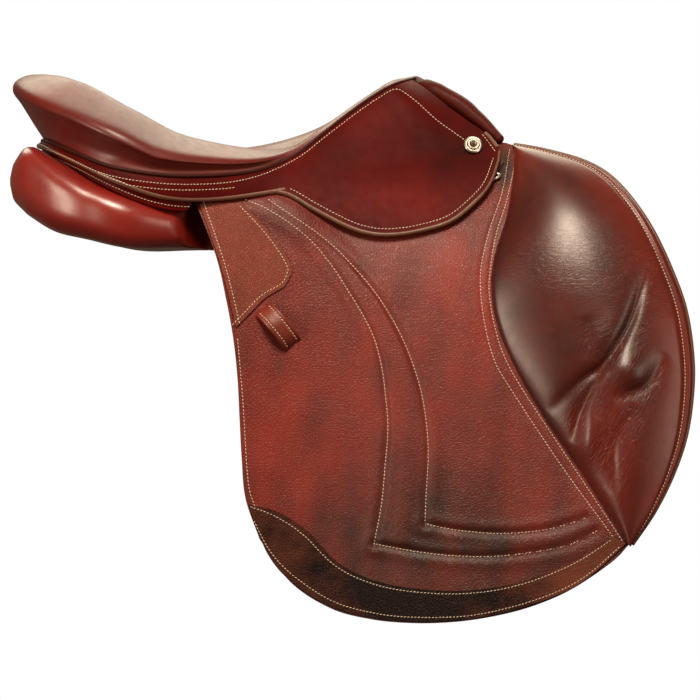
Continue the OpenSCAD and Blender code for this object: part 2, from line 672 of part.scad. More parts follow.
// Places of the stirrup bar, and of the tree's point behind it
bar_back = 39;
bar_x = nail_x - bar_back;
bar_drop = 18;
bar_z = fold_z(bar_x) - bar_drop;
bar_room = 4;
bar_inset = skirt_t + bar_room + bar_t / 2;
bar_arm = 9;
bar_foot = [30, 22, 3];
bar_foot_behind = 6;
bar_seat = 1.4;
// Inset of the point's outer face, measured level from the side
bar_cos = -side_normal(bar_x, bar_z).y;
point_inset = bar_inset + (bar_t / 2 + bar_gap + bar_foot.z + bar_seat) / bar_cos;
point_depth = tree_t / bar_cos;

// Panels: place along the saddle, middle, half width, half depth and tilt of each section
panel_rear_x = welt_rear_x - panel_tail;
panel_lead = 28;
panel_front_x = fold_front_x + panel_lead;
panel_width = panel_share * seat_width;
panel_a = panel_width / 2;
panel_b = panel_depth / 2;
panel_shapes = [
  [0.000, 0.62, 67, 0.29, 0.30, 0],
  [0.008, 0.63, 68, 0.44, 0.66, 2],
  [0.024, 0.68, 68, 0.60, 0.93, 4],
  [0.042, 0.745, 63, 0.695, 1.01, 6],
  [0.090, 0.87, 49, 0.86, 1.00, 8],
  [0.150, 0.96, 42, 0.96, 0.97, 10],
  [0.240, 1.00, 34, 1.00, 0.92, 12],
  [0.380, 0.75, 28, 0.75, 0.70, 18],
  [0.540, 0.62, 25, 0.62, 0.70, 28],
  [0.700, 0.60, 36, 0.72, 0.62, 48],
  [0.860, 0.56, 42, 0.80, 0.48, 60],
  [0.960, 0.56, 45, 0.68, 0.40, 62],
  [1.000, 0.58, 48, 0.40, 0.20, 62]
];
panel_sides = 16;
panel_rows = 28;
panel_square = 0.8;
// The front of the panel is pressed flat behind the tree's points and the sweat flap
panel_room = 2;
point_room = 6;
panel_tuck = 30;
panel_ease = 90;
// Behind this place the panel swells out freely
panel_free_x = -45;
panel_free_slope = 2.5;
function panel_limit(x, z) =
  min(side_w(x, z) - lerp(panel_tuck, point_inset + point_depth + point_room, smooth(x / panel_ease)),
      sweat_w(x, z) - sweat_t - panel_room)
  + panel_free_slope * max(0, panel_free_x - x);
function panel_ring(t) =
  let (p = curve(panel_shapes, t), x = lerp(panel_rear_x, panel_front_x, p[0]))
  let (mid = channel_half + panel_a * p[1])
  [for (k = [0:panel_sides - 1])
    let (a = 360 * k / panel_sides)
    let (c = sign(cos(a)) * pow(abs(cos(a)), panel_square), s = sign(sin(a)) * pow(abs(sin(a)), panel_square))
    let (g = c * p[3] * panel_a, h = s * p[4] * panel_b)
    let (w = mid + g * cos(p[5]) + h * sin(p[5]), z = p[2] - g * sin(p[5]) + h * cos(p[5]))
    [x, -max(channel_half - 4, min(w, panel_limit(x, z))), z]];
module panel() {
  color("#8e2a1c") loft([for (i = [0:panel_rows]) panel_ring(i / panel_rows)]);
}

// Lining that joins the two panels over the channel
lining_t = 2.5;
lining_crown = 4;
lining_rows = 14;
lining_levels = [[0.08, 60], [0.24, 46], [0.38, 38], [0.54, 42], [0.66, 50]];
function lining_grid(under) = [for (i = [0:lining_rows]) let (q = curve(lining_levels, i / lining_rows)) [
  for (s = [1, 0, -1])
    [lerp(panel_rear_x, panel_front_x, q.x), s * channel_half, q.y - under + (1 - abs(s)) * lining_crown]]];
module channel_lining() {
  color("#5a241b") slab(lining_grid(0), lining_grid(lining_t));
}

// Tree: rails and cantle in one band, as two edges on each rib
rail_front_rib = 3;
rail_gap = 3.8;
rail_width = 31;
rail_drop = 15;
foam_room = 24;
// Share of the rail's lift that its inner edge has
rail_inner_lift = 0.25;
rail_steps = 24;
function rail_ring(q) =
  let (u = q[0], n = fold_side(u), lift = max(rib(u)[3] * cantle_height - foam_room, -rail_drop))
  let (outer = welt(u) - n * rail_gap + [0, 0, lift])
  let (inner = welt(u) - n * (rail_gap + rail_width) + [0, 0, lift * rail_inner_lift - rail_drop])
  [for (p = [outer, outer - [0, 0, tree_t], inner - [0, 0, tree_t], inner]) to_side(p, q[1])];
module tree_rails() {
  color("#b99a6b") loft([for (q = around_path(rail_front_rib, rail_steps)) rail_ring(q)]);
}

// Head of the tree: an arch whose points run down behind the stirrup bars
head_width = 28;
point_foot_z = 34;
function point_path(z, x) = on_side(x, z, point_inset + point_depth / 2);
// The point's way up behind the nail, as distance back and height, and the arch's way from the pommel
point_places = [[8, point_foot_z], [12, 56], [18, 76]];
arch_places = [[22, -46, -59], [5, -33, -41], [-7, -17, -28], [-10, 0, -25]];
head_path = [
  for (p = point_places) point_path(p.y, nail_x - p.x),
  for (p = arch_places) p + [pommel_x, 0, pommel_z]
];
head_forward = unit([1, 0, -0.3]);
function head_axis(t) = curve(head_path, t);
function head_out(t) =
  let (h = 0.02, d = head_axis(min(t + h, 1)) - head_axis(max(t - h, 0)))
  unit(cross(head_forward, t >= 1 ? [0, 1, 0] : d));
function head_ring(i, width, inset, t) =
  let (s = abs(i), p = head_axis(1 - s), n = head_out(1 - s), a = head_forward * width / 2)
  [for (q = [p + a - n * inset, p - a - n * inset, p - a - n * (inset + t), p + a - n * (inset + t)])
    to_side(q, i)];
head_steps = 12;
module arch(width, inset, t, steps) {
  loft([for (i = [-steps:steps]) head_ring(i / head_steps, width, inset, t)]);
}
module tree_head() {
  color("#b99a6b") arch(head_width, -tree_t / 2, tree_t, head_steps);
}
gullet_width = 22;
gullet_steps = 8;
module gullet_plate() {
  color("silver") arch(gullet_width, tree_t / 2 + lay, steel_t, gullet_steps);
}
rivet_places = [0.12, 0.36, 0.55];
module head_rivet(t) {
  n = head_out(1 - t);
  at_frame(head_axis(1 - t) - n * (tree_t / 2 + steel_t + 1), head_forward, n)
    cylinder(d = rivet_d, h = tree_t + steel_t + 2);
}
module head_rivets() {
  color("silver")
    for (t = rivet_places) {
      head_rivet(t);
      left() head_rivet(t);
    }
}

// Webbing stretched from the head to the cantle, under the foam
seat_web_half = 26;
seat_web_t = 2;
seat_web_room = 0.4;
seat_web_drop = seat_foam_top + seat_foam_t + seat_web_room;
// The webbing's edges fall away where the seat narrows to the waist
web_first_rib = 1.6;
web_waist_rib = 4.5;
web_waist_ribs = 2;
web_waist_fall = 5;
web_rows = 16;
function web_grid(under) = [for (i = [0:web_rows])
  let (u = lerp(web_first_rib, rib_last, i / web_rows), p = seat_point(u, 1, 0))
  let (fall = web_waist_fall * exp(-pow((u - web_waist_rib) / web_waist_ribs, 2)))
  [for (s = [-1, 0, 1]) [p.x, s * seat_web_half, p.z - seat_web_drop - under - abs(s) * fall]]];
module seat_web() {
  color("#cfc4a6") slab(web_grid(0), web_grid(seat_web_t));
}

// Stirrup bar: lies along the fold, open to the rear behind a hinged catch
tongue_t = 3;
catch_half = 4.5;
catch_play = 0.8;
catch_x = -bar_length / 2 - catch_half - catch_play;
module in_bar_frame() {
  stand_on_side(bar_x, bar_z, bar_inset) rotate([0, 0, hinge_angle]) children();
}
module stirrup_bar() {
  front = bar_length / 2;
  color("silver")
    in_bar_frame()
      difference() {
        union() {
          translate([-front, -bar_height / 2, -bar_t / 2]) cube([bar_length, bar_height, bar_t]);
          translate([front - bar_arm, -bar_height / 2, -bar_t / 2 - bar_gap])
            cube([bar_arm, bar_height, bar_gap + bar_t / 2]);
          translate([front - bar_arm - bar_foot_behind, -bar_foot.y / 2, -bar_t / 2 - bar_gap - bar_foot.z])
            cube(bar_foot);
          translate([catch_x, -catch_half, -tongue_t / 2]) cube([2 * catch_half, 2 * catch_half, tongue_t]);
          translate([catch_x, 0, -tongue_t / 2]) cylinder(r = catch_half, h = tongue_t);
        }
        translate([catch_x, 0, -bar_t]) cylinder(d = catch_pin_d + 2 * pin_play, h = 2 * bar_t);
      }
}
module bar_catch() {
  reach = catch_half + 1;
  cheek_t = (bar_t - tongue_t) / 2 - lay;
  color("silver")
    in_bar_frame()
      translate([catch_x, 0, 0]) {
        cylinder(d = catch_pin_d, h = bar_t, center = true);
        translate([-catch_length, -catch_half, -bar_t / 2])
          cube([catch_length - reach, 2 * catch_half, bar_t]);
        for (z = [-bar_t / 2, bar_t / 2 - cheek_t]) {
          translate([-reach - 1, -catch_half, z]) cube([reach + 1, 2 * catch_half, cheek_t]);
          translate([0, 0, z]) cylinder(r = catch_half, h = cheek_t);
        }
      }
}

// Leather pocket that holds the foot of the tree's point
pocket_t = 2.5;
pocket_room = 1.2;
pocket_size = [42, 20];
// Middle of the pocket behind the nail, and its upper edge above the point's foot
pocket_back = 9;
pocket_above = 14;
pocket_cells = 4;
function pocket_grid(inset) = [for (i = [0:pocket_cells]) [for (j = [0:pocket_cells])
  let (x = nail_x - pocket_back + (i / pocket_cells - 0.5) * pocket_size.x)
  let (z = point_foot_z + pocket_above - j / pocket_cells * pocket_size.y)
  on_side(x, z, point_inset - pocket_room - pocket_t + inset)]];
module point_pocket() {
  color("#5a241b") slab(pocket_grid(0), pocket_grid(pocket_t));
}

// Front dee on a leather chape, which swivels on its rivet at the flap's head
chape_back = 2;
chape_below = 11;
chape_x = fold_front_x - chape_back;
chape_z = fold_z(chape_x) - chape_below;
chape_turn = -24;
chape_t = 2.4;
chape_width = 12;
chape_length = 15;
chape_wall = 0.8;
// Loop of the chape that the dee turns in
eye = dee_wire + 2 * pin_play;
module in_chape_frame() {
  stand_on_side(chape_x, chape_z, flap_inset(chape_x, chape_z) - lay) rotate([0, 0, chape_turn]) children();
}
module dee_chape() {
  color("#5a2a1e")
    in_chape_frame()
      difference() {
        union() {
          translate([-chape_width / 2, -chape_length, 0]) cube([chape_width, chape_length, chape_t]);
          cylinder(d = chape_width, h = chape_t);
          translate([-chape_width / 2, -chape_length, eye / 2 + chape_wall])
            rotate([0, 90, 0])
              cylinder(d = eye + 2 * chape_wall, h = chape_width);
        }
        translate([-chape_width, -chape_length, eye / 2 + chape_wall])
          rotate([0, 90, 0])
            cylinder(d = eye, h = 2 * chape_width);
      }
}
module dee_ring() {
  r = (dee_width + dee_wire) / 2;
  color("silver")
    in_chape_frame()
      translate([0, -chape_length, eye / 2 + chape_wall]) {
        translate([-r, 0, 0]) rotate([0, 90, 0]) cylinder(d = dee_wire, h = 2 * r);
        rotate([0, 0, 180]) rotate_extrude(angle = 180) translate([r, 0]) circle(d = dee_wire);
        for (x = [-r, r]) translate([x, 0, 0]) sphere(d = dee_wire);
      }
}

// Head nail: a domed washer and its sunk screw, on the fixed skirt above the fold
nail_rib = 0.42;
nail_height = 0.885;
nail_rise_t = 3;
nail_shank = 6;
function nail_out() =
  let (h = 0.02, a = skirt_point(nail_rib + h, nail_height, 0) - skirt_point(nail_rib - h, nail_height, 0))
  unit(cross(a, skirt_point(nail_rib, nail_height + h, 0) - skirt_point(nail_rib, nail_height - h, 0)));
module head_nail() {
  n = nail_out();
  r = nail_d / 2;
  color("silver")
    at_frame(skirt_point(nail_rib, nail_height, 0), unit(cross([0, 0, 1], n)), n)
      rotate_extrude()
        polygon([[0, -nail_shank], [r * 0.3, -nail_shank], [r * 0.3, 0], [r, 0], [r, 1], [r * 0.86, 1.8],
          [r * 0.72, 1.8], [r * 0.62, nail_rise_t], [r * 0.42, nail_rise_t], [r * 0.3, 1.6], [0, 1.6]]);
}

tree_rails();
tree_head();
gullet_plate();
head_rivets();
seat_web();
seat_foam();
seat_leather();
seat_welt();
pommel_facing();
rear_facing();
channel_lining();
skirt();  // skirt_right
left() skirt();  // skirt_left
skirt_lobe();  // skirt_lobe_right
left() skirt_lobe();  // skirt_lobe_left
flap();  // flap_right
left() flap();  // flap_left
knee_block();  // knee_block_right
left() knee_block();  // knee_block_left
hem_strip();  // hem_strip_right
left() hem_strip();  // hem_strip_left
rear_patch();  // rear_patch_right
left() rear_patch();  // rear_patch_left
keeper();  // keeper_right
left() keeper();  // keeper_left
panel();  // panel_right
left() panel();  // panel_left
sweat_flap();  // sweat_flap_right
left() sweat_flap();  // sweat_flap_left
girth_web();  // girth_web_right
left() girth_web();  // girth_web_left
billet(1);  // billet_front_right
left() billet(1);  // billet_front_left
billet(0);  // billet_middle_right
left() billet(0);  // billet_middle_left
billet(-1);  // billet_rear_right
left() billet(-1);  // billet_rear_left
buckle_guard();  // buckle_guard_right
left() buckle_guard();  // buckle_guard_left
stirrup_bar();  // stirrup_bar_right
left() stirrup_bar();  // stirrup_bar_left
bar_catch();  // bar_catch_right
left() bar_catch();  // bar_catch_left
point_pocket();  // point_pocket_right
left() point_pocket();  // point_pocket_left
dee_chape();  // dee_chape_right
left() dee_chape();  // dee_chape_left
dee_ring();  // dee_ring_right
left() dee_ring();  // dee_ring_left
head_nail();  // head_nail_right
left() head_nail();  // head_nail_left
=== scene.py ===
# %% [markdown]
# # A jumping saddle, dressed in leather
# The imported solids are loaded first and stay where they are: they say where every piece lies and how it
# moves. Each leather piece is then made again as a finer surface on the same curves, and rides on the body
# of the solid that it stands for. Sizes are in millimetres, and become metres when a mesh is made.

# %% Load the solids
import bmesh
import bpy
import numpy as np
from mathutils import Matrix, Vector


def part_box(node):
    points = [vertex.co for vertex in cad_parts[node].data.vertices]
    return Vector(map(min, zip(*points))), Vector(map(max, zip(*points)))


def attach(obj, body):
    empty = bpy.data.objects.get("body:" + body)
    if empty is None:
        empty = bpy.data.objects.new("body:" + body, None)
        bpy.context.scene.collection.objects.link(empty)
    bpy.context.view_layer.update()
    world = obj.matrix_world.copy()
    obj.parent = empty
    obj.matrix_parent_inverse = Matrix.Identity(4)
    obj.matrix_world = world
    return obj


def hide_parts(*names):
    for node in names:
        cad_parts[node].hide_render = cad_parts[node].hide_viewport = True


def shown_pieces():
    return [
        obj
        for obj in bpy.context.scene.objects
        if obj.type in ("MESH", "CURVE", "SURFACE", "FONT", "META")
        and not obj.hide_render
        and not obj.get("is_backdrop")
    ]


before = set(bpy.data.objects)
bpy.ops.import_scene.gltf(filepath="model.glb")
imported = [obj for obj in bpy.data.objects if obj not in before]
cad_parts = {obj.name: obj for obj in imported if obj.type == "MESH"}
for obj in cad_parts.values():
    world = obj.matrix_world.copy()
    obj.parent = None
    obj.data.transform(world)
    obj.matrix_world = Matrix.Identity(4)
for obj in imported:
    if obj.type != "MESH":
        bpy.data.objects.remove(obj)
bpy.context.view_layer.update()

# %% [markdown]
# ## The camera
# A saddle is shown from its side, from far off with a long lens, so that near and far edges keep the same
# size. The camera looks almost level at the middle of the flap, 5 m away. The lens is worked out from the
# size of one picture point at the flap: 0.945 mm in a square picture 700 points wide.

# %% Camera
MM = 0.001
PICTURE, POINT_MM, DISTANCE_MM, SENSOR_MM = 700, 0.945, 5000.0, 36.0
turn, rise = np.radians(0.5), np.radians(0.5)
aim = np.array([99.2, -150.0, -94.5])
look = np.array([-np.sin(turn) * np.cos(rise), np.cos(turn) * np.cos(rise), -np.sin(rise)])
camera = bpy.data.objects.new("camera", bpy.data.cameras.new("camera"))
bpy.context.collection.objects.link(camera)
camera.location = (aim - DISTANCE_MM * look) * MM
camera.rotation_euler = (np.pi / 2 - rise, 0, turn)
camera.data.sensor_width = SENSOR_MM
camera.data.lens = SENSOR_MM * DISTANCE_MM / (POINT_MM * PICTURE)
camera.data.clip_end = 100
bpy.context.scene.camera = camera
print("lens", round(camera.data.lens, 1), "mm")

# %% [markdown]
# ## Smooth curves
# A saddler cuts leather round a few key points. A Bezier curve could draw such an outline, with handles to
# set at each point. A Catmull-Rom curve was chosen, because it runs smoothly through the points alone, and
# a patch fills the space between four such curves. Numpy works out a whole grid of points at once.

# %% Curves and patches
def smooth(t):
    t = np.clip(t, 0, 1)
    return t * t * (3 - 2 * t)


def unit(v):
    return v / np.maximum(np.linalg.norm(v, axis=-1, keepdims=True), 1e-9)


def curve_at(points, u):
    """Points at u, counted in key points, on a smooth curve through the rows of points."""
    p = np.asarray(points, float)
    last = len(p) - 1
    u = np.clip(np.asarray(u, float), 0, last)
    i = np.minimum(u.astype(int), last - 1)
    f = (u - i)[..., None]
    b, c = p[i], p[i + 1]
    a = np.where((i > 0)[..., None], p[np.maximum(i - 1, 0)], 2 * b - c)
    d = np.where((i < last - 1)[..., None], p[np.minimum(i + 2, last)], 2 * c - b)
    return (2 * b + (c - a) * f + (2 * a - 5 * b + 4 * c - d) * f**2 + (3 * b - a - 3 * c + d) * f**3) / 2


def curve(points, t):
    return curve_at(points, np.clip(t, 0, 1) * (len(points) - 1))


def even(points, count):
    """A curve through the key points, cut into equal lengths."""
    fine = curve(points, np.linspace(0, 1, 40 * len(points)))
    way = np.concatenate([[0], np.cumsum(np.linalg.norm(np.diff(fine, axis=0), axis=1))])
    at = np.linspace(0, way[-1], count)
    return np.stack([np.interp(at, way, fine[:, k]) for k in range(fine.shape[1])], -1)


def patch(top, bottom, rear, front, u, v):
    """Patch between four curves: top and bottom run rear to front, the others downwards."""
    top, bottom, rear, front = (np.asarray(c, float) for c in (top, bottom, rear, front))
    u, v = np.broadcast_arrays(u, v)
    k, w = u[..., None], v[..., None]
    across = curve(top, u) * (1 - w) + curve(bottom, u) * w
    down = curve(rear, v) * (1 - k) + curve(front, v) * k
    corners = (top[0] * (1 - k) + top[-1] * k) * (1 - w) + (bottom[0] * (1 - k) + bottom[-1] * k) * w
    return across + down - corners


def steps(count, edge=0.0):
    """Places from 0 to 1, with closer ones at both ends to round an edge."""
    t = np.linspace(0, 1, count)
    return np.unique(np.concatenate([t, edge * np.array([0.2, 0.5, 1]),
            1 - edge * np.array([0.2, 0.5, 1])]))


print("a curve through three points:", curve([[0, 0], [1, 1], [2, 0]], 0.25).round(2))

# %% [markdown]
# ## The side of the saddle
# Skirt, flap and knee block all lie on one swelling surface that hangs from a straight fold. It could be
# modelled first and the pieces wrapped on it, but a formula puts each piece in its place without gaps.
# This function gives the half width at any place along the saddle (x) and at any height (z), as the solids
# have it. Leather lies on it at some height above or below.

# %% Side surface
FOLD_REAR, FOLD_FRONT = np.array([25.0, 56.0]), np.array([242.0, 96.0])
FOLD_FRONT_W, FOLD_SPREAD, FOLD_EASE = 67.0, 0.222, 30.0
BELLY, BELLY_DROP, SPLAY = 45.0, 60.0, 0.18
SKIRT_T, FLAP_T, TRIM_T, FOLD_GAP, LAY = 4.0, 5.0, 1.5, 0.4, 0.3
RECESS, RECESS_DROP, RECESS_FROM, RECESS_EASE = 9.0, 70.0, 20.0, 60.0
OUTWARD = np.array([0, -1.0, 0])
fold_slope = (FOLD_FRONT[1] - FOLD_REAR[1]) / (FOLD_FRONT[0] - FOLD_REAR[0])


def along_fold(share):
    return FOLD_REAR[0] + (FOLD_FRONT[0] - FOLD_REAR[0]) * share


def fold_z(x):
    return FOLD_REAR[1] + fold_slope * (x - FOLD_REAR[0])


def fold_w(x):
    q = FOLD_FRONT[0] - x
    return FOLD_FRONT_W + FOLD_SPREAD * (q + np.sqrt(q * q + FOLD_EASE**2) - FOLD_EASE) / 2


def side_w(x, z):
    d = fold_z(x) - z
    below = BELLY * (1 - np.exp(-np.maximum(d, 0) / BELLY_DROP)) + SPLAY * np.maximum(d, 0)
    swell = np.where(d > 0, below, (BELLY / BELLY_DROP + SPLAY) * d)
    return fold_w(x) + (0.5 + 0.5 * smooth(x / FOLD_FRONT[0])) * swell


def on_side(x, z, inset):
    return np.stack(np.broadcast_arrays(x, inset - side_w(x, z), z), -1)


def side_normal(x, z):
    return unit(np.stack(np.broadcast_arrays(side_w(x - 1, z) - side_w(x + 1, z), -2.0,
                                             side_w(x, z - 1) - side_w(x, z + 1)), -1))


def flap_inset(x, z):
    drawn_in = RECESS * np.exp(-(np.maximum(fold_z(x) - z, 0) / RECESS_DROP) ** 2)
    return SKIRT_T + FOLD_GAP + drawn_in * smooth((x - FOLD_REAR[0] - RECESS_FROM) / RECESS_EASE)


def over_flap(x, z, height):
    return on_side(x, z, flap_inset(x, z) - height)


print("half width at the fold's front:", fold_w(FOLD_FRONT[0]).round(1), "mm")

# %% [markdown]
# ## Making meshes
# Leather is a sheet, so most pieces are two grids of points, the grain side and the flesh side, joined by
# a rounded cut edge. A Solidify modifier could thicken one grid, but two grids say exactly where each face
# lies. The rim of a sheet is kept sharp in shading, so its big faces stay clean. The left side is a mirror
# image, with its faces turned round again.

# %% Mesh helpers
def to_mesh(name, points, faces, shade=None, sharp=()):
    """A closed mesh from points in millimetres, with its doubles merged and its faces pointing outwards."""
    mesh = bpy.data.meshes.new(name)
    mesh.from_pydata((np.asarray(points) * MM).tolist(), [], faces)
    if shade is not None:
        made = mesh.attributes.new("shade", "FLOAT", "POINT")
        made.data.foreach_set("value", np.asarray(shade, np.float32))
    bm = bmesh.new()
    bm.from_mesh(mesh)
    bm.verts.ensure_lookup_table()
    for a, b in sharp:
        edge = bm.edges.get((bm.verts[a], bm.verts[b]))
        if edge:
            edge.smooth = False
    bmesh.ops.remove_doubles(bm, verts=bm.verts, dist=1e-6)
    bmesh.ops.dissolve_degenerate(bm, edges=bm.edges, dist=1e-7)
    bmesh.ops.recalc_face_normals(bm, faces=bm.faces)
    bm.to_mesh(mesh)
    bm.free()
    mesh.polygons.foreach_set("use_smooth", [True] * len(mesh.polygons))
    return mesh


def shell(name, outer, inner, shade=None, skip=(), bulge=0.35):
    """Sheet between two grids, with a rounded edge. skip names sides that close on themselves."""
    n, m = outer.shape[:2]
    k = n * m
    cell = lambda i, j: i * m + j
    faces = []
    for i in range(n - 1):
        for j in range(m - 1):
            a, b, c, d = cell(i, j), cell(i + 1, j), cell(i + 1, j + 1), cell(i, j + 1)
            faces += [(a, b, c, d), (k + a, k + d, k + c, k + b)]
    sides = {"first": [(0, j) for j in range(m)], "right": [(i, m - 1) for i in range(n)],
             "last": [(n - 1, j) for j in range(m)][::-1], "left": [(i, 0) for i in range(n)][::-1]}
    points = [outer.reshape(-1, 3), inner.reshape(-1, 3)]
    count, sharp = 2 * k, []
    for side, loop in sides.items():
        if side in skip:
            continue
        ids = np.array([cell(i, j) for i, j in loop])
        down, over = {"first": (1, 0), "last": (-1, 0), "left": (0, 1), "right": (0, -1)}[side]
        inward = [cell(min(max(i + down, 0), n - 1), min(max(j + over, 0), m - 1)) for i, j in loop]
        flat, deep = points[0][ids], points[1][ids]
        out = unit(flat - points[0][inward])
        points.append((flat + deep) / 2 + out * bulge)
        for q in range(len(ids) - 1):
            a, b, c, d = ids[q], ids[q + 1], count + q, count + q + 1
            faces += [(a, c, d, b), (c, k + a, k + b, d)]
            sharp.append((int(a), int(b)))
        count += len(ids)
    tone = None
    if shade is not None:
        tone = np.concatenate([shade.ravel(), shade.ravel(), np.full(count - 2 * k, float(shade.mean()))])
    return to_mesh(name, np.concatenate(points), [tuple(int(v) for v in f) for f in faces], tone, sharp)


def closed_loft(name, rings):
    """Skin over a row of rings, with both ends closed."""
    rings = np.array(rings)
    n, m = rings.shape[:2]
    faces = [(i * m + j, i * m + (j + 1) % m, (i + 1) * m + (j + 1) % m, (i + 1) * m + j)
             for i in range(n - 1) for j in range(m)]
    faces += [tuple(range(m)), tuple((n - 1) * m + j for j in range(m))]
    return to_mesh(name, rings.reshape(-1, 3), faces)


def tube(name, path, radius, sides=10, across=OUTWARD, ridges=0.0, ridge_mm=3.0):
    """Round cord along a path, with ridges like twisted piping if they are asked for."""
    path = np.asarray(path, float)
    way = np.concatenate([[0], np.cumsum(np.linalg.norm(np.diff(path, axis=0), axis=1))])
    ahead = unit(np.gradient(path, axis=0))
    across = unit(across)
    across = unit(across - ahead * np.sum(across * ahead, -1, keepdims=True))
    up = np.cross(across, ahead)
    angle = np.linspace(0, 2 * np.pi, sides, endpoint=False)
    size = np.reshape(radius, (-1, 1)) * (1 + ridges * np.sin(2 * np.pi * way[:, None] / ridge_mm + angle))
    spoke = across[:, None] * np.cos(angle)[:, None] + up[:, None] * np.sin(angle)[:, None]
    return closed_loft(name, path[:, None] + size[..., None] * spoke)


def note(mesh, name, grid, values):
    """Stores values on a mesh at the points of a grid, found again by their place, and nought elsewhere."""
    place = np.empty(3 * len(mesh.vertices), np.float32)
    mesh.vertices.foreach_get("co", place)
    key = lambda p: [tuple(q) for q in np.rint(np.asarray(p, float).reshape(-1, 3) * 1e3).astype(int)]
    values = np.reshape(values, (grid.size // 3, -1))
    width = values.shape[1]
    known = dict(zip(key(grid), values))
    found = [known.get(q, np.zeros(width)) for q in key(place.astype(float) * 1000)]
    made = mesh.attributes.new(name, "FLOAT" if width == 1 else "FLOAT_VECTOR", "POINT")
    made.data.foreach_set("value" if width == 1 else "vector", np.ravel(found).astype(np.float32))
    return mesh


def twin(mesh, name):
    """Mirror image of a mesh, for the left side."""
    copy = mesh.copy()
    copy.name = name
    place = np.empty(3 * len(copy.vertices), np.float32)
    copy.vertices.foreach_get("co", place)
    place[1::3] *= -1
    copy.vertices.foreach_set("co", place)
    copy.flip_normals()
    copy.update()
    return copy


def piece(name, mesh, material, body, nodes=()):
    """Shows a mesh as a piece of the saddle that rides on a body and stands for its solids."""
    obj = bpy.data.objects.new(name, mesh)
    bpy.context.collection.objects.link(obj)
    if material is not None:
        mesh.materials.clear()
        mesh.materials.append(material)
    if nodes:
        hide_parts(*nodes)
    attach(obj, body)
    print(name, len(mesh.polygons), "faces")


def pair(name, mesh, material, body, nodes=()):
    """The right-hand piece and its mirror image. body is a stem, such as flap, or the fixed saddle."""
    for side, data in (("right", mesh), ("left", twin(mesh, name + "_left"))):
        where = body if body == "saddle" else f"{body}_{side}"
        piece(f"{name}_{side}", data, material, where, [f"{n}_{side}" for n in nodes])

# %% [markdown]
# ## Leather
# Saddle leather is cow or calf hide, tanned, dyed through and waxed. The eye sees three things in it: a
# pebble grain of a few tenths of a millimetre to some millimetres, clouds of darker dye and burnish, and a
# soft wax gloss over both. An image could carry them, but patterns from nodes fit every piece and need no
# file. The grain is drawn two to three times too coarse, because one picture point is nearly a millimetre.
# One function adds a node, and one builds any leather from its colours, grain and gloss. Three values
# stored on a mesh steer it: shade darkens or lightens a place, as burnish and tone and as painted shade and
# painted highlight, wrinkle says how strong fine wrinkles are there, and way is the place measured along
# and across them.

# %% Leather materials
def colour(text):
    """sRGB hex text to the linear colour that shaders use."""
    rgb = [int(text[i:i + 2], 16) / 255 for i in (1, 3, 5)]
    return [c / 12.92 if c <= 0.04045 else ((c + 0.055) / 1.055) ** 2.4 for c in rgb] + [1.0]


def add(tree, kind, inputs=None, **settings):
    """Adds a node with its settings. An input is a value, or an output or a node to link."""
    node = tree.nodes.new(kind)
    for name, value in settings.items():
        setattr(node, name, value)
    for name, value in (inputs or {}).items():
        value = value.outputs[0] if isinstance(value, bpy.types.Node) else value
        if isinstance(value, bpy.types.NodeSocket):
            tree.links.new(value, node.inputs[name])
        else:
            node.inputs[name].default_value = value
    return node


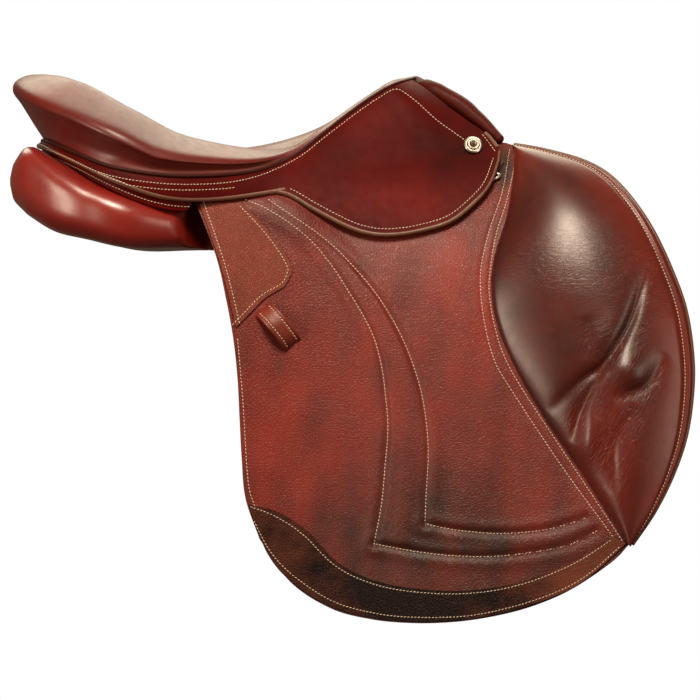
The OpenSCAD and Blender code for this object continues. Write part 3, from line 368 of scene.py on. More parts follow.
def leather(name, face, deep, grain_mm=2.0, grain=0.15, rough=0.4, clouds=0.5, coat=0.15, cloud_mm=55.0,
            sheen=0.5):
    """face and deep are the dye's light and burnished tones. The attribute shade holds burnish, painted
    shade and highlight.
    """
    made = bpy.data.materials.new(name)
    made.use_nodes = True
    tree = made.node_tree
    tree.nodes.clear()
    place = add(tree, "ShaderNodeTexCoord").outputs["Object"]
    cloud = add(tree, "ShaderNodeTexNoise",
                {"Vector": place, "Scale": 1 / (cloud_mm * MM), "Detail": 4.0, "Roughness": 0.6})
    fine = add(tree, "ShaderNodeTexNoise",
               {"Vector": place, "Scale": 1 / (9 * MM), "Detail": 5.0, "Roughness": 0.65})
    shade = add(tree, "ShaderNodeAttribute", attribute_name="shade")
    dye = add(tree, "ShaderNodeMapRange",
              {"Value": cloud, "From Min": 0.35, "From Max": 0.7, "To Max": clouds})
    speck = add(tree, "ShaderNodeMapRange",
                {"Value": fine, "From Min": 0.4, "From Max": 0.75, "To Max": 0.22 * clouds})
    total = add(tree, "ShaderNodeMath", {0: dye, 1: speck}, operation="ADD")
    total = add(tree, "ShaderNodeMath",
                {0: total, 1: shade.outputs["Fac"]}, operation="ADD", use_clamp=True)
    tint = add(tree, "ShaderNodeMix", {0: total, 6: colour(face), 7: colour(deep)}, data_type="RGBA")
    pebble = add(tree, "ShaderNodeTexVoronoi",
                 {"Vector": place, "Scale": 1 / (grain_mm * MM), "Randomness": 0.9},
                 feature="DISTANCE_TO_EDGE")
    height = add(tree, "ShaderNodeMapRange", {"Value": pebble.outputs["Distance"], "From Max": 0.22})
    bump = add(tree, "ShaderNodeBump", {"Height": height, "Strength": grain, "Distance": 0.35 * MM})
    worn = add(tree, "ShaderNodeAttribute", attribute_name="wrinkle")
    way = add(tree, "ShaderNodeAttribute", attribute_name="way")
    crack = add(tree, "ShaderNodeTexNoise",
                {"Vector": way.outputs["Vector"], "Scale": 1 / (3.5 * MM), "Detail": 2.0,
                 "Distortion": 0.4})
    crack = add(tree, "ShaderNodeMath", {0: crack, 1: 0.5}, operation="SUBTRACT")
    crack = add(tree, "ShaderNodeMath", {0: crack}, operation="ABSOLUTE")
    crack = add(tree, "ShaderNodeMapRange", {"Value": crack, "From Max": 0.09})
    folded = add(tree, "ShaderNodeBump",
                 {"Height": crack, "Strength": worn.outputs["Fac"], "Distance": 0.65 * MM, "Normal": bump})
    soft = add(tree, "ShaderNodeBump",
               {"Height": fine, "Strength": 0.4 * min(grain, 0.2), "Distance": 1.5 * MM, "Normal": folded})
    gloss = add(tree, "ShaderNodeMapRange",
                {"Value": fine, "From Min": 0.3, "From Max": 0.7,
                 "To Min": rough - 0.06, "To Max": rough + 0.08})
    skin = add(tree, "ShaderNodeBsdfPrincipled",
               {"Base Color": tint.outputs[2], "Roughness": gloss, "Normal": soft, "IOR": 1.5,
                "Specular IOR Level": sheen, "Coat Weight": coat, "Coat Roughness": 0.28})
    add(tree, "ShaderNodeOutputMaterial", {"Surface": skin})
    return made


# Waxed calf is smooth, with a broad soft shine
calf_seat = leather("calf leather, smooth waxed", "#70170e", "#36100c", grain_mm=1.6, grain=0.02,
                    rough=0.42, clouds=0.3, coat=0.22, cloud_mm=80, sheen=0.65)
# Burnished calf is dark and hardly shines
calf_skirt = leather("calf leather, smooth burnished", "#68110c", "#2c0807", grain_mm=1.6, grain=0.08,
                     rough=0.48, clouds=0.4, coat=0.0, cloud_mm=50, sheen=0.07)
# Full-grain hide shows its pebble and clouds of dye under a little wax
hide_flap = leather("cowhide, full grain waxed", "#8e2c21", "#34160e", grain_mm=2.7, grain=0.5, rough=0.45,
                    clouds=0.3, coat=0.05, cloud_mm=45, sheen=0.4)
# Soft calf gleams on its swellings and wrinkles beside its folds
calf_block = leather("calf leather, soft and creased", "#762317", "#2e0f0a", grain_mm=1.6, grain=0.05,
                     rough=0.36, clouds=0.3, coat=0.65, cloud_mm=45, sheen=0.3)
# Pebbled hides have a deep grain that breaks up the light
grained_hem = leather("cowhide, pebble grained dark", "#723a29", "#1a0906", grain_mm=3.0, grain=0.75,
                      rough=0.5, clouds=0.5, coat=0.0, cloud_mm=40, sheen=0.15)
grained_patch = leather("cowhide, pebble grained red", "#8a3d2c", "#562216", grain_mm=2.3, grain=0.8,
                        rough=0.5, clouds=0.4, coat=0.0, cloud_mm=50, sheen=0.35)
# Glossy calf mirrors the light on the cushions
calf_panel = leather("calf leather, soft glossy", "#961f14", "#540f0a", grain_mm=1.8, grain=0.08,
                     rough=0.34, clouds=0.4, coat=1.0, cloud_mm=60, sheen=0.75)
# Folded strips and cords are matt, and dark partly from wear and partly as painted shade, as they lie in
# shade
calf_facing = leather("calf leather, folded facing", "#5c1a12", "#2c0d09", grain_mm=1.6, grain=0.12,
                      rough=0.45, clouds=0.5, coat=0.0, cloud_mm=40, sheen=0.12)
cord_welt = leather("calf leather, piped welt", "#431812", "#1c0b08", grain_mm=1.5, grain=0.1, rough=0.55,
                    clouds=0.4, coat=0.0, cloud_mm=30, sheen=0.2)
# A waxed cut edge is paler and browner than the face
waxed_edge = leather("cut leather edge, waxed", "#7a523c", "#4c2a1c", grain_mm=1.5, grain=0.1, rough=0.4,
                     clouds=0.5, coat=0.15, cloud_mm=30)
# Straps are firm, with an even sheen
bridle = leather("bridle leather, rolled", "#5a2318", "#2e100b", grain_mm=1.8, grain=0.12, rough=0.4,
                 clouds=0.5, coat=0.2, cloud_mm=40)
calf_keeper = leather("calf leather, folded strap", "#84301f", "#3c150e", grain_mm=1.8, grain=0.15,
                      rough=0.4, clouds=0.4, coat=0.2, cloud_mm=25)
# Lining is thin and matt
lining = leather("sheepskin leather, lining", "#6a2f22", "#3c150e", grain_mm=2.0, grain=0.2, rough=0.55,
                 clouds=0.5, coat=0.0, cloud_mm=50)
print("leathers:", len(bpy.data.materials))

# %% [markdown]
# ## The seat
# The seat is a calf hide blocked wet over foam and webbing, then pulled down and tacked round the tree.
# Sculpting or a cloth simulation could give such a shape. It is made of ribs instead, from the pommel
# round to the middle of the cantle, because a rib's few numbers can be matched to the photo and to the
# solid: each one climbs from the welt over the rim and falls to the centre line. The left half is the
# mirror image, so one mesh covers both.

# %% Seat
SEAT_L, SEAT_W, CANTLE_H, CANTLE_LEAN, CANTLE_Z = 451.0, 290.0, 63.0, 19.0, 108.0
POMMEL_X, POMMEL_Z, SEAT_T = 162.0, 170.0, 2.6
TUCK, TUCK_RIB, TUCK_RIBS = 6.0, 9.5, 2.0
# Height of the rim's outer roll, width of its crest and of the flat inside it, and how much less behind
RIM_H, RIM_LESS, CREST_W, CREST_LESS, FLAT_W = 28.0, 13.0, 56.0, 38.0, 16.0
NAIL_BACK, NAIL_RISE, CANTLE_EASE = 22.0, 60.0, 3.0
NAIL_X = FOLD_FRONT[0] - NAIL_BACK
WELT_REAR = NAIL_X - np.sqrt(SEAT_L**2 - FOLD_FRONT_W**2 - NAIL_RISE**2) + CANTLE_LEAN - CANTLE_EASE
UP = np.array([0.0, 0.0, 1.0])
# Each rib: way back, half width and level of the welt, height and lean of the rim, way back and level of
# the centre line, as shares of the seat's sizes
RIBS = np.array([[0, .05, 1, .02, -.1, 0, 1.005], [.056, .248, .885, .032, -.3, .06, .946],
                 [.103, .303, .73, .04, -.3, .105, .794], [.166, .365, .466, .048, -.3, .165, .553],
                 [.241, .448, .116, .08, -.2, .233, .278], [.326, .576, -.277, .17, -.1, .31, .08],
                 [.418, .724, -.497, .33, .1, .405, -.069], [.533, .87, -.575, .485, .2, .51, -.144],
                 [.655, .98, -.573, .655, .35, .6, -.15], [.78, .993, -.452, .9, .45, .665, -.11],
                 [.886, .81, -.213, .985, .6, .704, -.064], [.97, .495, -.036, 1, .8, .728, -.04],
                 [1, 0, .011, 1, 1, .733, -.032]])
LAST = len(RIBS) - 1
RIBS_ON = np.vstack([RIBS, RIBS[-2] * [1, -1, 1, 1, 1, 1, 1]])


def way_back(share):
    return POMMEL_X + (WELT_REAR - POMMEL_X) * share


def seat_level(share):
    return CANTLE_Z + (POMMEL_Z - CANTLE_Z) * share


def tucked(u):
    """How far the foot of the cantle is drawn in at rib u."""
    return TUCK * smooth((np.asarray(u) - TUCK_RIB) / TUCK_RIBS)


def welt(u):
    r = curve_at(RIBS_ON, u)
    return np.stack([way_back(r[..., 0]) + tucked(u), -r[..., 1] * SEAT_W / 2, seat_level(r[..., 2])], -1)


def rib_out(u):
    """Level direction that points out of the seat at rib u."""
    u = np.asarray(u, float)
    t = welt(np.minimum(u, LAST) + 0.02) - welt(np.maximum(u - 0.02, 0))
    out = unit(np.stack([-t[..., 1], t[..., 0], np.zeros_like(u)], -1))
    return np.where((u >= LAST)[..., None], [-1.0, 0, 0], out)


def seat_point(u, v, inset=0.0):
    """Grid of seat points: ribs u, and v from the welt to the centre line."""
    r, w, n = curve_at(RIBS_ON, u), welt(u), rib_out(u)
    col = lambda a: np.asarray(a)[:, None]
    up = r[:, 3] * CANTLE_H * (0.25 + 0.75 * smooth((u - 1) / 3))
    back, round_back = smooth((u - 10) / 2.3), smooth((u - 9.3) / 1.7)
    tall = np.minimum(RIM_H - RIM_LESS * back, 0.64 * up)
    lean, nose = 1.26 * r[:, 4] * CANTLE_LEAN + tucked(u), up - tall
    c = np.stack([way_back(r[:, 5]), np.zeros_like(u), seat_level(r[:, 6]) - inset], -1)
    inward = (c - w) * [1, 1, 0]
    span = np.linalg.norm(inward, axis=1)
    shoulder = up - (0.62 - 0.32 * back) * tall
    crest = np.minimum(CREST_W - CREST_LESS * back, 0.38 * span)
    flat = np.minimum(crest + FLAT_W, 0.55 * span)
    dip = 0.97 - 0.17 * smooth((u - 6) / 3)
    inward = inward / col(span)
    rim = w + n * col(lean) + inward * col(flat) + UP * col(dip * up - inset)
    keys = np.stack([
        w + UP * 0.3 - n * inset,
        w + n * col((0.38 * round_back - 0.05) * lean - inset) + UP * col(0.33 * nose),
        w + n * col((0.5 + 0.22 * round_back) * lean - inset) + UP * col(0.73 * nose),
        w + n * col(lean - inset) + UP * col(nose),
        w + n * col(lean - 0.7 * inset) + inward * col(0.18 * crest) + UP * col(shoulder - 0.7 * inset),
        w + n * col(lean) + inward * col(crest) + UP * col(up - inset),
        rim, (rim + c) / 2 - UP * col(0.14 * (rim - c)[:, 2]), c])
    return curve(keys.reshape(9, -1), v).reshape(len(v), len(u), 3).transpose(1, 0, 2)


MIRROR = np.array([1.0, -1.0, 1.0])
ribs_u = LAST * np.linspace(0, 1, 161)


def both_halves(half):
    return np.concatenate([half, half[:, -2::-1] * MIRROR], 1)


seat_v = np.linspace(0, 1, 61)
outer, inner = (both_halves(seat_point(ribs_u, seat_v, inset)) for inset in (0.0, SEAT_T))
piece("seat_cover", shell("seat_cover", outer, inner, skip=("last",)), calf_seat, "saddle",
      ["seat_leather"])
print("seat from", outer.reshape(-1, 3).min(0).round(), "to", outer.reshape(-1, 3).max(0).round())

# %% [markdown]
# ## The welt
# Where the seat meets the skirt, a thin strip of leather is folded round a cord and sewn in. Its twist
# shows as fine ridges. A bevelled curve could make the cord but not the ridges, so rings of points are set
# along the path, which runs from the right of the pommel round the cantle to the left.

# %% Welt
WELT_FROM, WELT_STEPS, WELT_STAND, WELT_LOW = 0.05, 700, 1.0, 1.2


def round_cantle(first, count):
    """Ribs from the right side round the cantle to the left, and the factors that mirror each of them."""
    u = np.concatenate([np.linspace(first, LAST, count), np.linspace(LAST, first, count)[1:]])
    return u, np.where(np.arange(len(u))[:, None] < count, 1.0, MIRROR)


around, hand = round_cantle(WELT_FROM, WELT_STEPS)
welt_path = (welt(around) + rib_out(around) * WELT_STAND - UP * WELT_LOW) * hand
welt_out = rib_out(around) * hand
welt_r = 1.2 + 0.6 * smooth((around - 0.2) / 5)
piece("welt_cord", tube("welt_cord", welt_path, welt_r, 10, welt_out, ridges=0.08, ridge_mm=2.4), cord_welt,
      "saddle", ["seat_welt"])

# %% [markdown]
# ## The skirt and its lobe
# The skirt is a firm leather piece under the seat. Its upper part is tacked to the tree and runs back as a
# narrow band round the cantle; its rounded lobe below the fold lifts, to reach the stirrup bar. One sheet
# could show both, but two sheets can each ride on their own body. They meet along the fold with the same
# slope, so that they look like one piece until the lobe lifts.

# %% Skirt and lobe
BAND_RIB, BAND_W, LOBE_DROP, LOBE_FROM = 6, 22.0, 63.0, 0.015
SKIRT_HEAD, SKIRT_LEAN, SKIRT_BULGE, BULGE_SPAN = 2.4, 55.0, 6.0, 60.0
FOLD_SHARES = np.array([0, .185, .315, .463, .62, .8, 1])
# Drop below the welt and stand out from it, as shares of the band's width, and the lobe's edge as shares of
# the fold's length and of the lobe's drop
BAND = np.array([[1.07, .14], [.98, .14], [.59, .14], [.43, .1], [.34, .18], [.28, .3]])
LOBE = np.array([[.015, 0], [.07, .085], [.125, .22], [.18, .37], [.32, .71], [.42, .89], [.52, .98],
                 [.64, 1], [.78, .94], [.89, .71], [.955, .48], [.995, .15]])
fold_x = along_fold(1 - FOLD_SHARES)
behind = np.arange(BAND_RIB + 1, LAST + 1)
LOWER = np.vstack([np.stack([fold_x, -fold_w(fold_x), fold_z(fold_x)], -1),
                   welt(behind) + rib_out(behind) * BAND[:, 1:] * BAND_W - UP * BAND[:, :1] * BAND_W])
LOWER = np.vstack([LOWER, LOWER[-2] * MIRROR])


def skirt_out(u, v):
    rear = smooth((u - BAND_RIB) / 3)[..., None]
    side = unit(rib_out(u) * rear + OUTWARD * (1 - rear))
    lean = np.radians(SKIRT_LEAN) * (1 - v)
    k = smooth(2 * v)[..., None]
    return unit(rib_out(u) * (1 - k) + side * k) * np.cos(lean)[..., None] + UP * np.sin(lean)[..., None]


def skirt_point(u, v, inset=0.0):
    """Skirt surface at rib u, with v from the welt to the fold. At the fold it takes the lobe's slope."""
    u, v = np.broadcast_arrays(np.asarray(u, float), np.asarray(v, float))
    low = curve_at(LOWER, u)
    x = low[..., 0]
    low = np.where((u < BAND_RIB)[..., None], np.stack([x, -fold_w(x), fold_z(x)], -1), low)
    top = welt(u) + unit(low - welt(u)) * SKIRT_HEAD
    span = np.linalg.norm(low - top, axis=-1)
    bulge = (SKIRT_BULGE * np.minimum(1, span / BULGE_SPAN))[..., None]
    start = low - top + 4 * bulge * skirt_out(u, np.zeros_like(u))
    plain = low - top - 4 * bulge * skirt_out(u, np.ones_like(u))
    steep = (BELLY / BELLY_DROP + SPLAY) * (0.5 + 0.5 * smooth(x / FOLD_FRONT[0]))
    hang = np.stack([(low - top)[..., 0] / np.maximum(span, 1), -steep, -np.ones_like(u)], -1)
    hang = unit(hang) * span[..., None]
    end = hang + (plain - hang) * smooth((u - BAND_RIB + 1) / 2)[..., None]
    t = v[..., None]
    leave = top * (1 + 2 * t) * (1 - t)**2 + start * t * (1 - t)**2
    arrive = low * t * t * (3 - 2 * t) - end * t * t * (1 - t)
    return leave + arrive - skirt_out(u, v) * inset


def lobe_point(t, v, inset=0.0):
    low = curve(LOBE, t)
    x = along_fold((LOBE_FROM + (1 - LOBE_FROM) * t) * (1 - v) + low[..., 0] * v)
    return on_side(x, fold_z(x) - low[..., 1] * LOBE_DROP * v, inset)


def spot(x, z, middle, size, turn=0.0):
    """Soft oval spot: one in its middle, and fading to nought."""
    c, s = np.cos(np.radians(turn)), np.sin(np.radians(turn))
    a, b = x - middle[0], z - middle[1]
    return np.exp(-((a * c + b * s) / size[0])**2 - ((b * c - a * s) / size[1])**2)


def skirt_tone(p):
    """Darker below the nail, and redder low on the lobe."""
    x, z = p[..., 0], p[..., 2]
    return 0.25 + 0.3 * spot(x, z, (200, 95), (42, 34)) - 0.4 * spot(x, z, (150, 48), (48, 22))


def cells(rows, columns):
    return np.meshgrid(rows, columns, indexing="ij")


skirt_u = np.unique(np.concatenate([np.linspace(0, LAST - 0.02, 190), np.linspace(0, 1.2, 40)]))
skirt_v = steps(30, 0.02)
U, V = cells(skirt_u, skirt_v)
# Share of the way down to the fold, and the part of a rib by which the front edge is cut back there
CUT_BACK = np.array([[0, .24], [.03, .26], [.05, .28], [.09, .27], [.17, .25], [.3, .27], [.42, .25],
                     [.52, .19], [.63, .13], [.72, .04], [.82, 0]])
U = U + np.interp(V, *CUT_BACK.T) * np.clip(1 - U / 1.5, 0, 1)
outer = skirt_point(U, V)
pair("skirt_leaf", shell("skirt_leaf", outer, skirt_point(U, V, SKIRT_T), skirt_tone(outer)), calf_skirt,
     "saddle", ["skirt"])
fold_at = curve_at(LOWER, skirt_u[skirt_u < BAND_RIB])[:, 0]
lobe_t = ((fold_at - FOLD_REAR[0]) / (FOLD_FRONT[0] - FOLD_REAR[0]) - LOBE_FROM) / (1 - LOBE_FROM)
lobe_t = np.unique(np.concatenate([np.clip(lobe_t, 0, 1), [0, 1], np.linspace(0.9, 1, 14)]))
T, V = cells(lobe_t, steps(34, 0.02))
outer = lobe_point(T, V)
# The lobe's root and rear corner are skived thin, so that it lifts without cutting into the flap
inner = lobe_point(T, V, SKIRT_T * (0.3 + 0.7 * smooth(V / 0.2) * smooth(T / 0.06)))
lobe_mesh = shell("lobe_leaf", outer, inner, skirt_tone(outer))
pair("lobe_leaf", lobe_mesh, calf_skirt, "skirt_lobe", ["skirt_lobe"])
nail_at = skirt_point(np.array([0.42]), np.array([0.885]))[0]
nail_low = np.array(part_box("head_nail_right")[0]) / MM
print("skirt under the nail at", nail_at.round(1), "and the nail's solid from", nail_low.round(1))

# %% [markdown]
# The cut edges of skirt and lobe are rounded, waxed and a lighter brown. A Bevel modifier could round
# them, but not make them stand proud, so a cord a little thicker than the leather is laid along each edge.
# It is slimmer at the lobe's front, to clear the dee.

# %% Skirt edges
EDGE_R, EDGE_SIDES, FRONT_R, FRONT_STEPS = 2.3, 12, 1.5, 30
fine = np.linspace(0, 1, 260)
slim = 1 - 0.35 * smooth((fine - 0.8) / 0.1)
lower_edge = lobe_point(fine, np.ones(260), SKIRT_T / 2 - 2 * (1 - slim))
front_edge = lobe_point(np.ones(FRONT_STEPS), np.linspace(0.97, 0.1, FRONT_STEPS), SKIRT_T / 2 - 0.7)
edge_r = np.append(EDGE_R * slim, np.full(FRONT_STEPS, FRONT_R))
edge_cord = tube("lobe_edge", np.vstack([lower_edge, front_edge]), edge_r, EDGE_SIDES)
pair("lobe_edge", edge_cord, waxed_edge, "skirt_lobe")
front_v = np.linspace(0.78, 0.96, 40)
front_edge = skirt_point(np.interp(front_v, *CUT_BACK.T), front_v, SKIRT_T / 2)
edge_cord = tube("skirt_front_edge", front_edge, EDGE_R, EDGE_SIDES)
pair("skirt_front_edge", edge_cord, waxed_edge, "saddle")
band_u = np.linspace(BAND_RIB - 0.25, LAST - 0.03, 300)
band_edge = skirt_point(band_u, np.ones(300), SKIRT_T / 2)
edge_cord = tube("band_edge", band_edge, EDGE_R + 0.2, EDGE_SIDES, rib_out(band_u))
pair("band_edge", edge_cord, waxed_edge, "saddle")

# %% [markdown]
# ## Sewn lines
# On the real flap, a shaped channel is stitched through, so the leather is drawn down along each row of
# stitches and swells a little between them. A displacement texture could draw this, but then stitches and
# hollows might part. Here the distance of every flap point to a line says how deep it is drawn down, and
# the stitches follow the same lines. A line is a row of key points, along the saddle and up.

# %% Lines on the flap
LINES = {
    "channel_a": [[0, 48], [17, 41], [40, 27], [63, 8], [82, -15], [97, -38], [111, -61], [122, -84],
                  [129, -110], [133, -140], [135, -170], [132, -208], [129, -240], [122, -277]],
    "channel_a_foot": [[122, -277], [162, -284], [201, -288], [241, -288], [281, -283], [307, -277],
                       [331, -265]],
    "channel_b": [[22, 48], [35, 39], [63, 20], [82, 5], [100, -13], [119, -35], [133, -55], [147, -80],
                  [158, -106], [167, -136], [172, -170], [173, -198], [171, -232], [170, -258]],
    "channel_b_foot": [[170, -258], [201, -264], [242, -267], [281, -264], [305, -258], [323, -252]],
    "seam_outer": [[257, 101], [256, 81], [248, 46], [238, 15], [233, -13], [231, -39], [236, -71],
                   [245, -100], [263, -133], [311, -206], [355, -273]],
    "seam_inner": [[252, 97], [244, 55], [232, 20], [224, -13], [223, -39], [227, -71], [235, -102],
                   [249, -128], [299, -204], [346, -269]],
    "rear": [[-40, 41], [-32, 20], [-26, 3], [-22, -9], [-14, -47], [-7, -85], [-2, -142], [3, -217],
             [9, -241]]}
# Depth and half width of each crease of the knee block in millimetres, and its line
CREASES = [
    (7.0, 5, [[286, -153], [318, -123], [339, -107], [362, -71], [375, -34], [382, -12]]),
    (4.6, 4, [[308, -182], [315, -155], [326, -131], [339, -113]]),
    (4.4, 6, [[347, -141], [361, -135], [378, -128], [389, -113], [397, -97]]),
    (2.4, 5, [[349, -228], [347, -189], [354, -169], [371, -146]]),
    (1.6, 5, [[322, -62], [323, -85], [322, -104]]),
    (1.2, 4, [[390, -8], [398, -35], [404, -62]])]


def distance(x, z, line):
    """Distance of every point to a smooth line, and how far along the line its nearest place is."""
    way = even(line, 120)
    p = np.stack([np.ravel(x), np.ravel(z)], -1)
    near, place = np.full(len(p), 1e9), np.zeros(len(p))
    for k, (a, b) in enumerate(zip(way[:-1], way[1:])):
        t = np.clip(((p - a) @ (b - a)) / max((b - a) @ (b - a), 1e-9), 0, 1)
        d = np.hypot(*(p - a - t[:, None] * (b - a)).T)
        place = np.where(d < near, (k + t) / (len(way) - 1), place)
        near = np.minimum(near, d)
    return near.reshape(np.shape(x)), place.reshape(np.shape(x))


def waves(x, z, size, seed, count=24):
    """Gentle uneven swell, as a sum of waves with random directions."""
    dice = np.random.default_rng(seed)
    total = np.zeros(np.shape(x))
    angles, phases = dice.uniform(0, 6.3, count), dice.uniform(0, 6.3, count)
    for angle, phase, k in zip(angles, phases, dice.uniform(0.5, 1.6, count)):
        total += np.sin((x * np.cos(angle) + z * np.sin(angle)) * 6.28 * k / size + phase)
    return total / count**0.5


# Depth and half width of a sewn row, the lips beside a channel, and the swelling between its two sides
SEAM_DEPTH, CHANNEL_DEPTH, ROW_HALF = 0.6, 1.8, 2.5
LIP, LIP_AT, LIP_HALF = 0.9, 7.0, 5.0
CHANNEL_RISE, CHANNEL_HALF, LOBE_EASE = 3.0, 11.0, 8.0


def flap_relief(x, z):
    """Height of the flap's face over its plain surface. Under the lobe it stays low."""
    x, z = np.broadcast_arrays(np.asarray(x, float), np.asarray(z, float))
    height = 0.25 * waves(x, z, 70, 4)
    for name, line in LINES.items():
        d = distance(x, z, line)[0]
        channel = "channel" in name
        height -= (CHANNEL_DEPTH if channel else SEAM_DEPTH) * np.exp(-(d / ROW_HALF)**2)
        height += LIP * np.exp(-((d - LIP_AT) / LIP_HALF)**2) if channel else 0
    middle = (np.array(LINES["channel_a"]) + np.array(LINES["channel_b"])) / 2
    height += CHANNEL_RISE * np.exp(-(distance(x, z, middle)[0] / CHANNEL_HALF)**2)
    lobe_low = np.interp(x, along_fold(LOBE[:, 0]), LOBE[:, 1]) * LOBE_DROP
    return np.minimum(height, CHANNEL_RISE * smooth((fold_z(x) - lobe_low - z) / LOBE_EASE) - LAY)


print("relief in and beside the channel:", flap_relief([135.0, 152.0], [-170.0, -170.0]).round(2), "mm")

# %% [markdown]
# ## The flap
# The flap is one large full-grain hide, 5 mm thick with its lining. It could be cut from a plane, but a
# patch between four curves gives an even grid that takes the relief well: the top edge under the skirt,
# the rear edge, the hem and the seam with the knee block. A rider's calf and foot burnish it darker at the
# channel's foot and along the hem. It is also darker by the dee and lighter towards the rear, with painted
# shade in a band under the lobe's edge and a painted highlight at the front below the skirt.

# %% Flap
FLAP_W, FLAP_DROP, FLAP_BACK, FLAP_BELOW = 409.0, 395.0, 72.0, 11.5
FLAP_CORNER = FOLD_REAR - [FLAP_BACK, FLAP_BELOW]


def places(shares):
    """Places on the side, from shares of the flap's width and drop."""
    return FLAP_CORNER + np.array(shares) * [FLAP_W, -FLAP_DROP]


flap_top = places([[0, 0], [.172, -.027], [.325, -.055], [.385, -.02], [.435, .015], [.505, .015], [.57, 0],
                   [.62, -.025], [.655, -.085], [.685, -.14], [.715, -.152], [.749, -.141]])
flap_rear = places([[0, 0], [.048, .13], [.071, .23], [.088, .325], [.098, .42], [.103, .515], [.108, .61],
                    [.117, .707], [.149, .803]])
flap_hem = places([[.149, .803], [.22, .905], [.313, .967], [.406, .992], [.499, 1], [.592, .997],
                   [.684, .984], [.776, .96], [.868, .919], [.96, .855], [1, .813]])
flap_seam = places([[.749, -.141], [.742, -.06], [.726, .03], [.698, .12], [.688, .195], [.697, .275],
                    [.735, .38], [.81, .515], [.893, .64], [1, .813]])
U, V = cells(steps(185, 0.008), steps(185, 0.008))
Q = patch(flap_top, flap_hem, flap_rear, flap_seam, U, V)
X, Z = Q[..., 0], Q[..., 1]
# Darker along the bottom except at the rear corner, and painted shade in a band just under the lobe's edge
burnish_and_painted_light = 0.22 + 0.4 * smooth((-225 - Z) / 60) * smooth((X - 40) / 60) + 0.15 * np.exp(-((Z - 25) / 18)**2)
# Spots: darker at the channel's foot and by the dee, a painted highlight at the front, lighter at the rear
for depth, middle, size in ((0.42, (184, -235), (80, 50)), (0.8, (247, 78), (9, 18)),
                            (-0.25, (208, -35), (42, 65)), (-0.2, (30, -170), (60, 75))):
    burnish_and_painted_light += depth * spot(X, Z, middle, size)
burnish_and_painted_light += 0.10 * waves(X, Z / 3, 40, 9)
flap_mesh = shell("flap_hide", over_flap(X, Z, flap_relief(X, Z)), over_flap(X, Z, -FLAP_T), burnish_and_painted_light)
pair("flap_hide", flap_mesh, hide_flap, "flap", ["flap"])

# %% [markdown]
# ## The knee block
# A stuffed pad of soft calf stands in front of the flap and stops the rider's knee. It swells at once from
# the seam, where the flap's edge lies over it, and falls to a piped outer edge. Use has creased it: two
# deep folds run up and forward from the seam, with fine wrinkles around them. It could be sculpted by
# hand. Here every fold is a line with a depth, and every swelling a soft spot with a height, so that each
# can be set to the photo.

# %% Knee block
block_edge = places([[.738, -.147], [.81, -.133], [.9, -.106], [.962, -.069], [1.014, -.01], [1.06, .065],
                     [1.1, .155], [1.132, .25], [1.147, .35], [1.148, .44], [1.133, .55], [1.102, .645],
                     [1.058, .735], [1.003, .818]])
BLOCK_H, BRIM, SEWN_V = 27.0, 4.0, 0.955
BLOCK_SWELL, END_SWELL, SEAM_DIP, SEAM_IN = 0.72, 0.6, 2.5, 2.5
# Strength, or height in millimetres, then middle, half sizes and turn in degrees of each place
WORN = [(0.5, ((300, -10), (75, 26))), (0.6, ((385, -30), (28, 60), -15)),
        (0.5, ((345, -180), (40, 60), -20))]
SWELLINGS = [(6.0, ((363, -114), (20, 17), 25)), (4.5, ((325, -176), (10, 26), -12)),
             (2.0, ((365, -200), (16, 40), -15)), (1.5, ((342, -80), (14, 24), -40))]


def block_place(u, v):
    seam = curve(flap_seam, 0.004 + 0.994 * u) - [SEAM_IN, 0]
    return seam * (1 - v)[..., None] + curve(block_edge, u) * v[..., None]


def block_height(u, v):
    crown = np.sin(np.pi * np.clip(v, 0, 1))**BLOCK_SWELL * np.sin(np.pi * (0.05 + 0.93 * u))**END_SWELL
    return BRIM * v + crown * BLOCK_H - SEAM_DIP * np.exp(-(v / 0.012)**2)


def calm(v):
    """Creases fade out towards the seam and the piping."""
    return np.sin(np.pi * np.clip(v, 0, 1))**0.6


def block_relief(x, z):
    """Creases of the pad, with the swellings between them, and how wrinkled each place is."""
    height = 0.5 * waves(x, z, 110, 2)
    worn = sum(strength * spot(x, z, *place) for strength, place in WORN)
    for depth, width, line in CREASES:
        d, along = distance(x, z, line)
        fade = np.sin(np.pi * along)**0.7
        height -= depth * fade / (1 + (d / width)**2)
        worn += 0.4 * fade * np.exp(-(d / 13)**2)
    height += sum(rise * spot(x, z, *place) for rise, place in SWELLINGS)
    return height, np.clip(worn, 0, 1)


U, V = cells(steps(220, 0.006), steps(150, 0.008))
Q = block_place(U, V)
X, Z = Q[..., 0], Q[..., 1]
relief, worn = block_relief(X, Z)
sewn_down = 1.8 * np.exp(-((V - SEWN_V) / 0.014)**2) - 1.2 * np.exp(-((V - 0.983) / 0.012)**2)
outer = over_flap(X, Z, block_height(U, V) + calm(V) * relief - sewn_down)
inner = over_flap(X, Z, -FLAP_T)
# Darker in the middle and lighter at the lower swellings, with painted shade along the seam and in creases
tone = 0.5 * (1 - smooth((V - 0.68) / 0.25)) * smooth(U / 0.2) - 0.55 * spot(X, Z, (345, -190), (35, 60))
tone += 0.2 * np.exp(-(V / 0.05)**2) + 0.15 * worn
pad = note(shell("knee_pad", outer, inner, tone), "wrinkle", outer, calm(V) * worn)
# Wrinkles lie level in the upper block and run up and forward in the lower, five times as long as wide
a, b = X - 335, Z + 76
upper = smooth((b + 30) / 60)
along = a * upper + (0.5 * a + 0.87 * b) * (1 - upper)
cross = b * upper + (0.5 * b - 0.87 * a) * (1 - upper)
pad = note(pad, "way", outer, np.stack([along / 5, cross, 0 * a], -1) * MM)
pair("knee_pad", pad, calf_block, "flap", ["knee_block"])

# %% [markdown]
# Leather piping closes the pad's outer edge. It is a cord in a folded strip, like the welt of the seat,
# but smooth, so the same function makes it.

